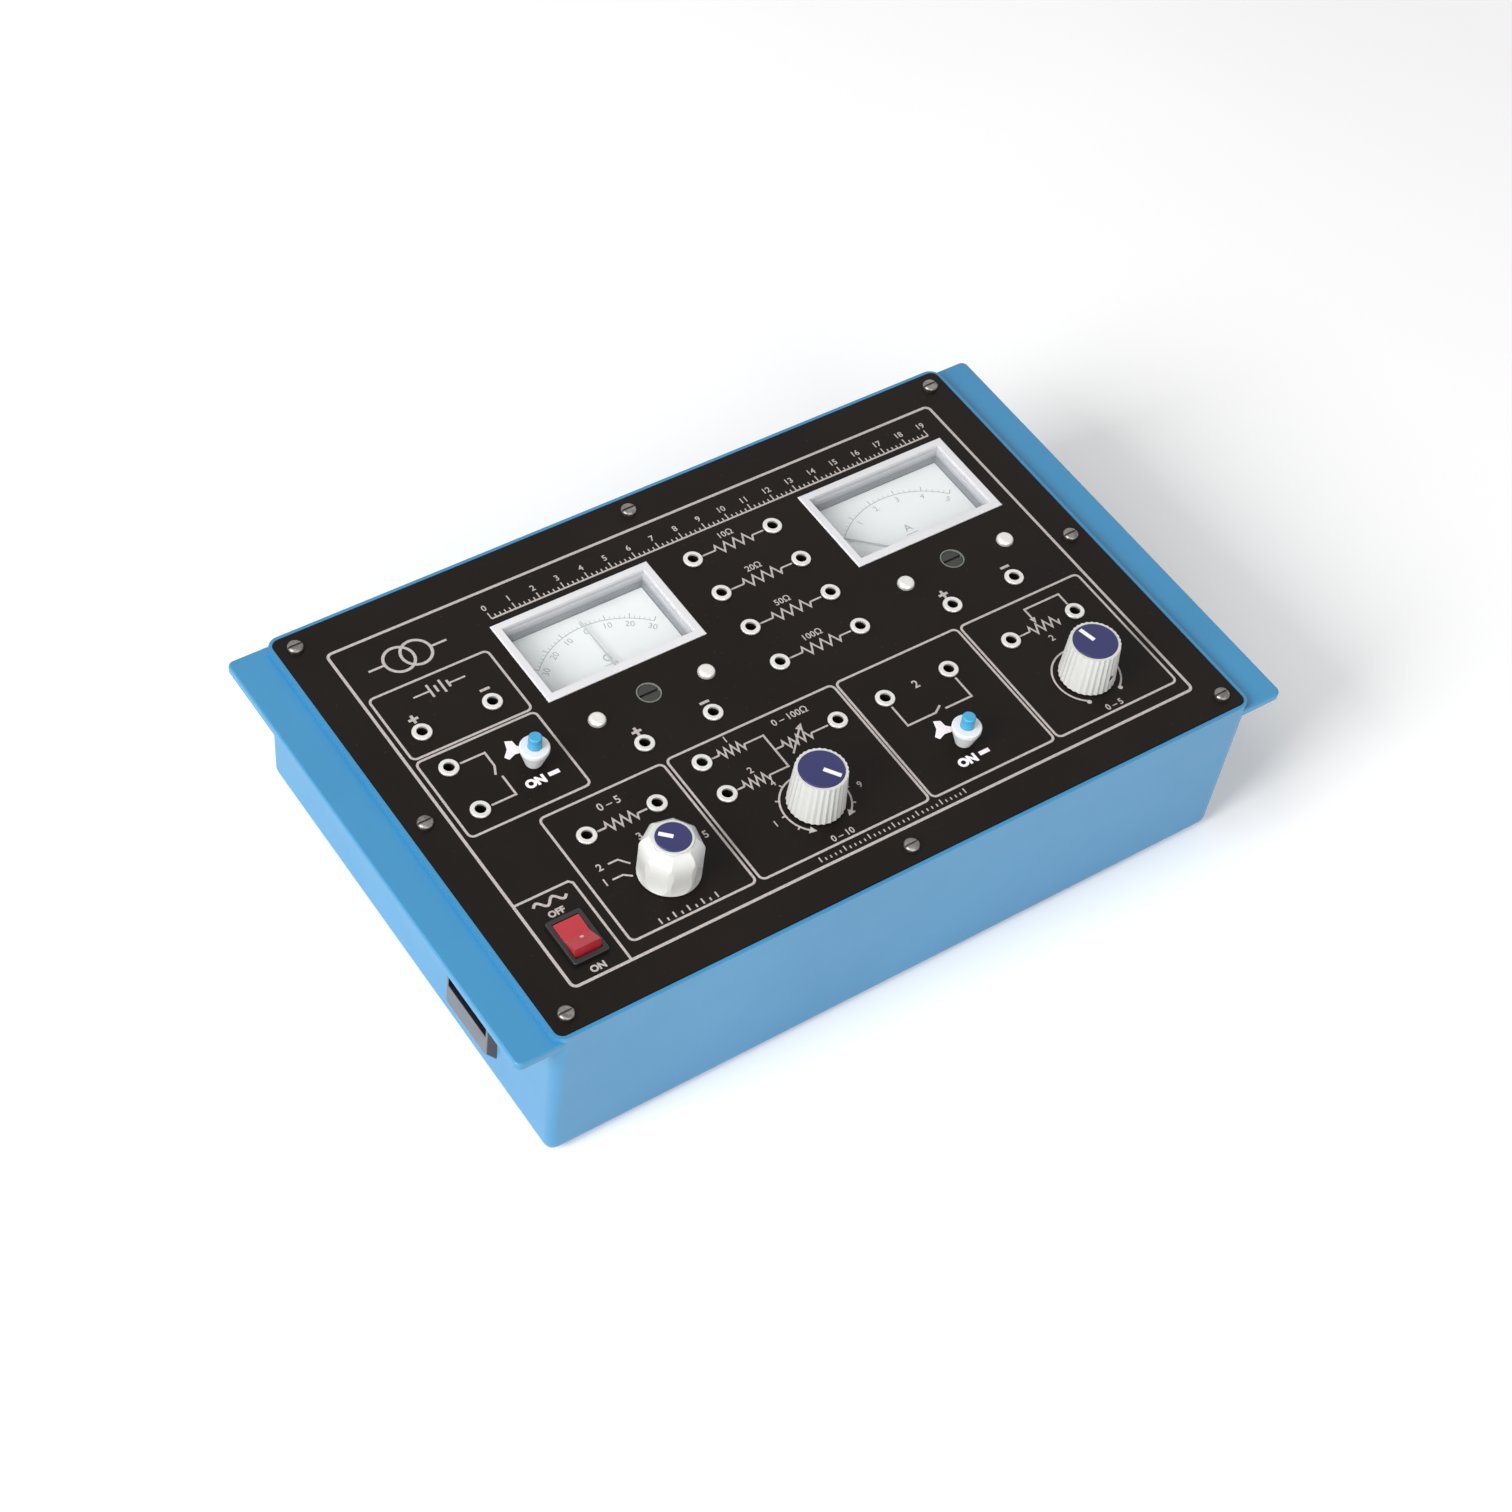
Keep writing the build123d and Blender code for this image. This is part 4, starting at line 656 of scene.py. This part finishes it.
def panel_potentiometer(ink):
    """Two input resistors, the variable resistor, and the ring round its knob."""
    for row in (-23.5, -39.0):
        ink.resistor(row, -37.7, -34.6, -24.4, -16.5, 1.9)
    ink.stroke([(-16.5, -23.1), (-16.5, -39.4)])
    ink.resistor(-30.7, -16.5, -13.0, -1.4, 5.7, 1.9)
    ink.stroke([(-11.8, -35.2), (-3.4, -26.6)], LEAD)
    ink.shape([(-2.0, -25.2), (-5.2, -26.4), (-3.2, -28.4)])
    ink.label("1", (-29.0, -18.7), 2.7, LIGHT)
    ink.label("2", (-29.0, -34.2), 2.7, LIGHT)
    ink.label("0 – 100Ω", (-3.6, -20.8), 2.8, LIGHT)
    knob = middle("potentiometer_knob")
    radius = KNOB_RING_RADIUS
    ink.arc(knob, radius, -48.0, 228.0, LEAD)
    for angle, turn in ((-48.0, -1), (228.0, 1)):
        tip = polar(knob, radius, angle + turn * 10)
        root = angle - turn * 2
        ink.shape([tip, polar(knob, radius + 1.5, root), polar(knob, radius - 1.5, root)])
    for angle in range(-30, 211, 30):
        ink.stroke([polar(knob, radius + reach, angle) for reach in (0.0, 1.4)], TICK)
    ink.label("4", (-25.4, -42.6), 2.6, LIGHT)
    ink.label("1", (-34.4, -57.6), 2.6, LIGHT)
    ink.label("9", (0.2, -57.6), 2.6, LIGHT)
    ink.label("0 – 10", (-17.2, -72.4), 2.6, LIGHT)


def panel_rheostat(ink):
    """The rheostat: resistor symbol with its wiper loop, and the ring round the knob."""
    ink.stroke([(89.3, -30.5), (94.0, -30.5)], LEAD)
    ink.zigzag((94.0, -30.5), (106.8, -30.5), 2.0)
    ink.stroke([(98.7, -26.6), (98.7, -21.0), (114.2, -21.0), (114.2, -26.6)])
    ink.shape([(98.7, -28.4), (97.5, -25.6), (99.9, -25.6)])
    ink.label("2", (99.3, -36.8), 2.8, LIGHT)
    knob = middle("rheostat_knob")
    ink.arc(knob, KNOB_RING_RADIUS, -54.0, 234.0, LEAD)
    for angle in (-57.0, 237.0):
        ink.dot(polar(knob, KNOB_RING_RADIUS + 0.4, angle), 0.9)
    ink.label("0 – 5", (99.8, -72.4), 2.6, LIGHT)


def panel_power(ink):
    """Mains switch: a wave symbol and the two positions."""
    wave = [(-123.2 + 0.5 * i, -47.4 + 1.3 * math.sin(i * 0.5)) for i in range(26)]
    ink.stroke(wave, 1.0)
    ink.label("OFF", (-117.4, -52.4), 2.5, HEAVY)
    ink.label("ON", (-117.2, -77.5), 2.6, HEAVY)


def panel_foot(ink):
    """A row of small ticks along the front edge of the print."""
    ink.ticks(-30.0, -78.6, 31, 2.0, 5, 2.2, 1.2, FINE)


def panel_print():
    """All the print on the panel, as one piece."""
    ink = Print(top("front_panel") + PRINT_LIFT)
    for draw in (
        panel_frames, panel_supply, panel_mains_symbol, panel_rule, panel_keys, panel_resistors,
        panel_meters, panel_shunt, panel_potentiometer, panel_rheostat, panel_power, panel_foot,
    ):
        draw(ink)
    return ink.piece("panel_print", PANEL_INK, "enclosure")


# Bolder print beside a push key, from the middle of its button
KEY_ARROW = (
    (-4.0, 12.5), (-1.6, 11.4), (-1.4, 8.9), (0.2, 7.4), (-1.0, 5.5),
    (-3.8, 5.9), (-6.6, 4.8), (-7.6, 6.4), (-5.1, 9.0),
)
KEY_WORD = (-3.8, -7.8)
KEY_BAR = (1.5, 5.7, -7.2)


def key_print():
    """An arrow, a word and a bar beside each push key."""
    ink = Print(top("front_panel") + PRINT_LIFT)
    for key in ("key_1_button", "key_2_button"):
        x, y = (round(value, 1) for value in middle(key))
        ink.shape([(x + across, y + along) for across, along in KEY_ARROW])
        ink.label("ON", (x + KEY_WORD[0], y + KEY_WORD[1]), 3.4, BOLD)
        left, right, row = KEY_BAR
        ink.stroke([(x + left, y + row), (x + right, y + row)], 1.7)
    return ink.piece("key_print", KEY_INK, "enclosure")


# Scales of the meters, from the pivots of their needles, and pointers of the knobs
ARC_RADIUS = 34.0
DIAL_HALF_SPAN = 45.0
SMALL_STEPS = 5
POINTER_WIDTH = 1.6


def dial_print(meter, numbers, unit):
    """Scale arc, graduations, numbers and unit letter of one meter."""
    ink = Print(top(f"{meter}_dial") + PRINT_LIFT, middle(f"{meter}_coil"))
    pivot = (0, 0)
    start, end = 90 - DIAL_HALF_SPAN, 90 + DIAL_HALF_SPAN
    ink.arc(pivot, ARC_RADIUS, start, end, 0.3)
    steps = len(numbers) - 1
    for i in range(steps * SMALL_STEPS + 1):
        angle = end - (end - start) * i / (steps * SMALL_STEPS)
        reach, width = (2.2, 0.35) if i % SMALL_STEPS == 0 else (1.2, 0.2)
        foot, tip = polar(pivot, ARC_RADIUS, angle), polar(pivot, ARC_RADIUS + reach, angle)
        ink.stroke([foot, tip], width)
    for i, number in enumerate(numbers):
        angle = end - (end - start) * i / steps
        ink.label(number, polar(pivot, ARC_RADIUS - 2.8, angle), 2.6, 0.0, angle - 90)
    ink.label(unit, (0.0, 17.3), 3.4, THIN)
    ink.stroke([(-2.6, 14.4), (2.6, 14.4)], 0.3)
    return ink.piece(f"{meter}_scale", DIAL_INK, "enclosure")


def cap_pointer(knob, angle, inner, outer):
    """The pale line on a knob's cap that shows where it points."""
    cap = f"{knob}_knob_cap"
    ink = Print(top(cap) + PRINT_LIFT, middle(cap))
    ink.stroke([polar((0, 0), radius, angle) for radius in (inner, outer)], POINTER_WIDTH)
    return ink.piece(f"{knob}_pointer", CAP_INK, f"{knob}_control")


def rocker_mark():
    """The pale dot on the front half of the rocker, laid on its sloping face."""
    rocker = frame["nodes"]["power_rocker"]
    above = Vector((-116.3 * MM, -65.8 * MM, cad_box[1].z))
    _, place, normal, _ = rocker.ray_cast(above, Vector((0.0, 0.0, -1.0)))
    ink = Print(PRINT_LIFT)
    ink.dot((0.0, 0.0), 0.7)
    lie_on = Matrix.Translation(place) @ normal.to_track_quat("Z", "Y").to_matrix().to_4x4()
    bmesh.ops.transform(ink.mesh, matrix=lie_on, verts=ink.mesh.verts)
    ink.mesh.normal_update()
    return ink.piece("rocker_mark", MARK_INK, "power_switch")


panel_print()
key_print()
rocker_mark()
dial_print("galvanometer", ["30", "20", "10", "0", "10", "20", "30"], "G")
dial_print("ammeter", ["0", "1", "2", "3", "4", "5"], "A")
cap_pointer("shunt", 136.7, 0.0, 5.0)
cap_pointer("potentiometer", -54.7, 0.6, 7.0)
cap_pointer("rheostat", 104.0, 0.6, 7.0)


# Stage, light and camera, in metres
FLOOR_SIZE = 12.0
FLOOR_GLOW = 0.06
NEAR_FLOOR = 0.6
FAR_FLOOR = 3.0
WORLD_LIGHT = 0.34
LAMP_TARGET = Vector((0.0, 0.0, 0.03))


def background_rays(tree):
    """1 for the rays that show the background: camera, glossy and transmission rays."""
    path = tree.nodes.new("ShaderNodeLightPath")
    seen = path.outputs["Is Camera Ray"]
    for kind in ("Is Glossy Ray", "Is Transmission Ray"):
        either = tree.nodes.new("ShaderNodeMath")
        either.operation = "MAXIMUM"
        tree.links.new(seen, either.inputs[0])
        tree.links.new(path.outputs[kind], either.inputs[1])
        seen = either.outputs["Value"]
    return seen


def pale_floor():
    """A pale floor that keeps the shadow, and turns white away from the object."""
    bpy.ops.mesh.primitive_plane_add(size=FLOOR_SIZE, location=(0, 0, 0))
    floor = bpy.context.object
    floor.name = "floor"
    surface = Surface("floor_paper", Roughness=0.9, Specular_IOR_Level=0.0)
    grain = surface.noise(3.0, 2.0, 0.5)
    surface.colour(surface.tones(grain, srgb(250, 250, 250), srgb(254, 254, 254)))
    away = surface.node("ShaderNodeVectorMath", operation="LENGTH")
    surface.link(surface.place, away.inputs[0])
    whiter = surface.between(away.outputs["Value"], FLOOR_GLOW, 1.0, NEAR_FLOOR, FAR_FLOOR)
    glow = surface.node("ShaderNodeMath", operation="MULTIPLY")
    surface.link(whiter, glow.inputs[0])
    surface.link(background_rays(surface.tree), glow.inputs[1])
    surface.shader.inputs["Emission Color"].default_value = WHITE
    surface.link(glow.outputs["Value"], surface.shader.inputs["Emission Strength"])
    floor.data.materials.append(surface.material)


def white_world():
    """A backdrop that is seen as white, and lights the object at a plain level."""
    world = bpy.data.worlds.new("world")
    bpy.context.scene.world = world
    world.use_nodes = True
    nodes = world.node_tree.nodes
    links = world.node_tree.links
    nodes.clear()
    mix = nodes.new("ShaderNodeMixShader")
    links.new(background_rays(world.node_tree), mix.inputs["Fac"])
    for side, strength in ((1, WORLD_LIGHT), (2, 1.0)):
        light = nodes.new("ShaderNodeBackground")
        light.inputs["Color"].default_value = WHITE
        light.inputs["Strength"].default_value = strength
        links.new(light.outputs["Background"], mix.inputs[side])
    out = nodes.new("ShaderNodeOutputWorld")
    links.new(mix.outputs["Shader"], out.inputs["Surface"])


def lamp(name, place, size, power):
    """A square soft lamp that faces the object."""
    data = bpy.data.lights.new(name, "AREA")
    data.shape = "SQUARE"
    data.size = size
    data.energy = power
    made = bpy.data.objects.new(name, data)
    made.location = place
    made.rotation_euler = (LAMP_TARGET - Vector(place)).to_track_quat("-Z", "Y").to_euler()
    bpy.context.scene.collection.objects.link(made)


# The photograph's camera, from the panel's corners and the tub's upright edges
SENSOR_WIDTH = 36.0
PHOTO_WIDTH = 1512.0
FOCAL_LENGTH_IN_PIXELS = 3156.3
CAMERA_PLACE = (-0.4754, -0.5499, 0.8939)
CAMERA_RIGHT = Vector((0.82430, -0.55722, 0.10015))
CAMERA_UP = Vector((0.37899, 0.67451, 0.63356))
CAMERA_BACK = Vector((-0.42059, -0.48429, 0.76718))


def camera():
    """A camera at the photograph's viewing angle."""
    data = bpy.data.cameras.new("camera")
    data.sensor_width = SENSOR_WIDTH
    data.lens = SENSOR_WIDTH * FOCAL_LENGTH_IN_PIXELS / PHOTO_WIDTH
    data.clip_start = 0.05
    made = bpy.data.objects.new("camera", data)
    turn = Matrix((CAMERA_RIGHT, CAMERA_UP, CAMERA_BACK)).transposed().to_4x4()
    made.matrix_world = Matrix.Translation(CAMERA_PLACE) @ turn
    bpy.context.scene.collection.objects.link(made)
    bpy.context.scene.camera = made


pale_floor()
white_world()
lamp("key_lamp", (-2.5, -0.3, 1.55), 1.3, 80.0)
lamp("fill_lamp", (-0.4, -1.6, 1.0), 1.4, 14.0)
lamp("top_lamp", (-0.9, 0.3, 1.7), 1.2, 9.0)
camera()
bpy.context.scene.view_settings.view_transform = "Standard"
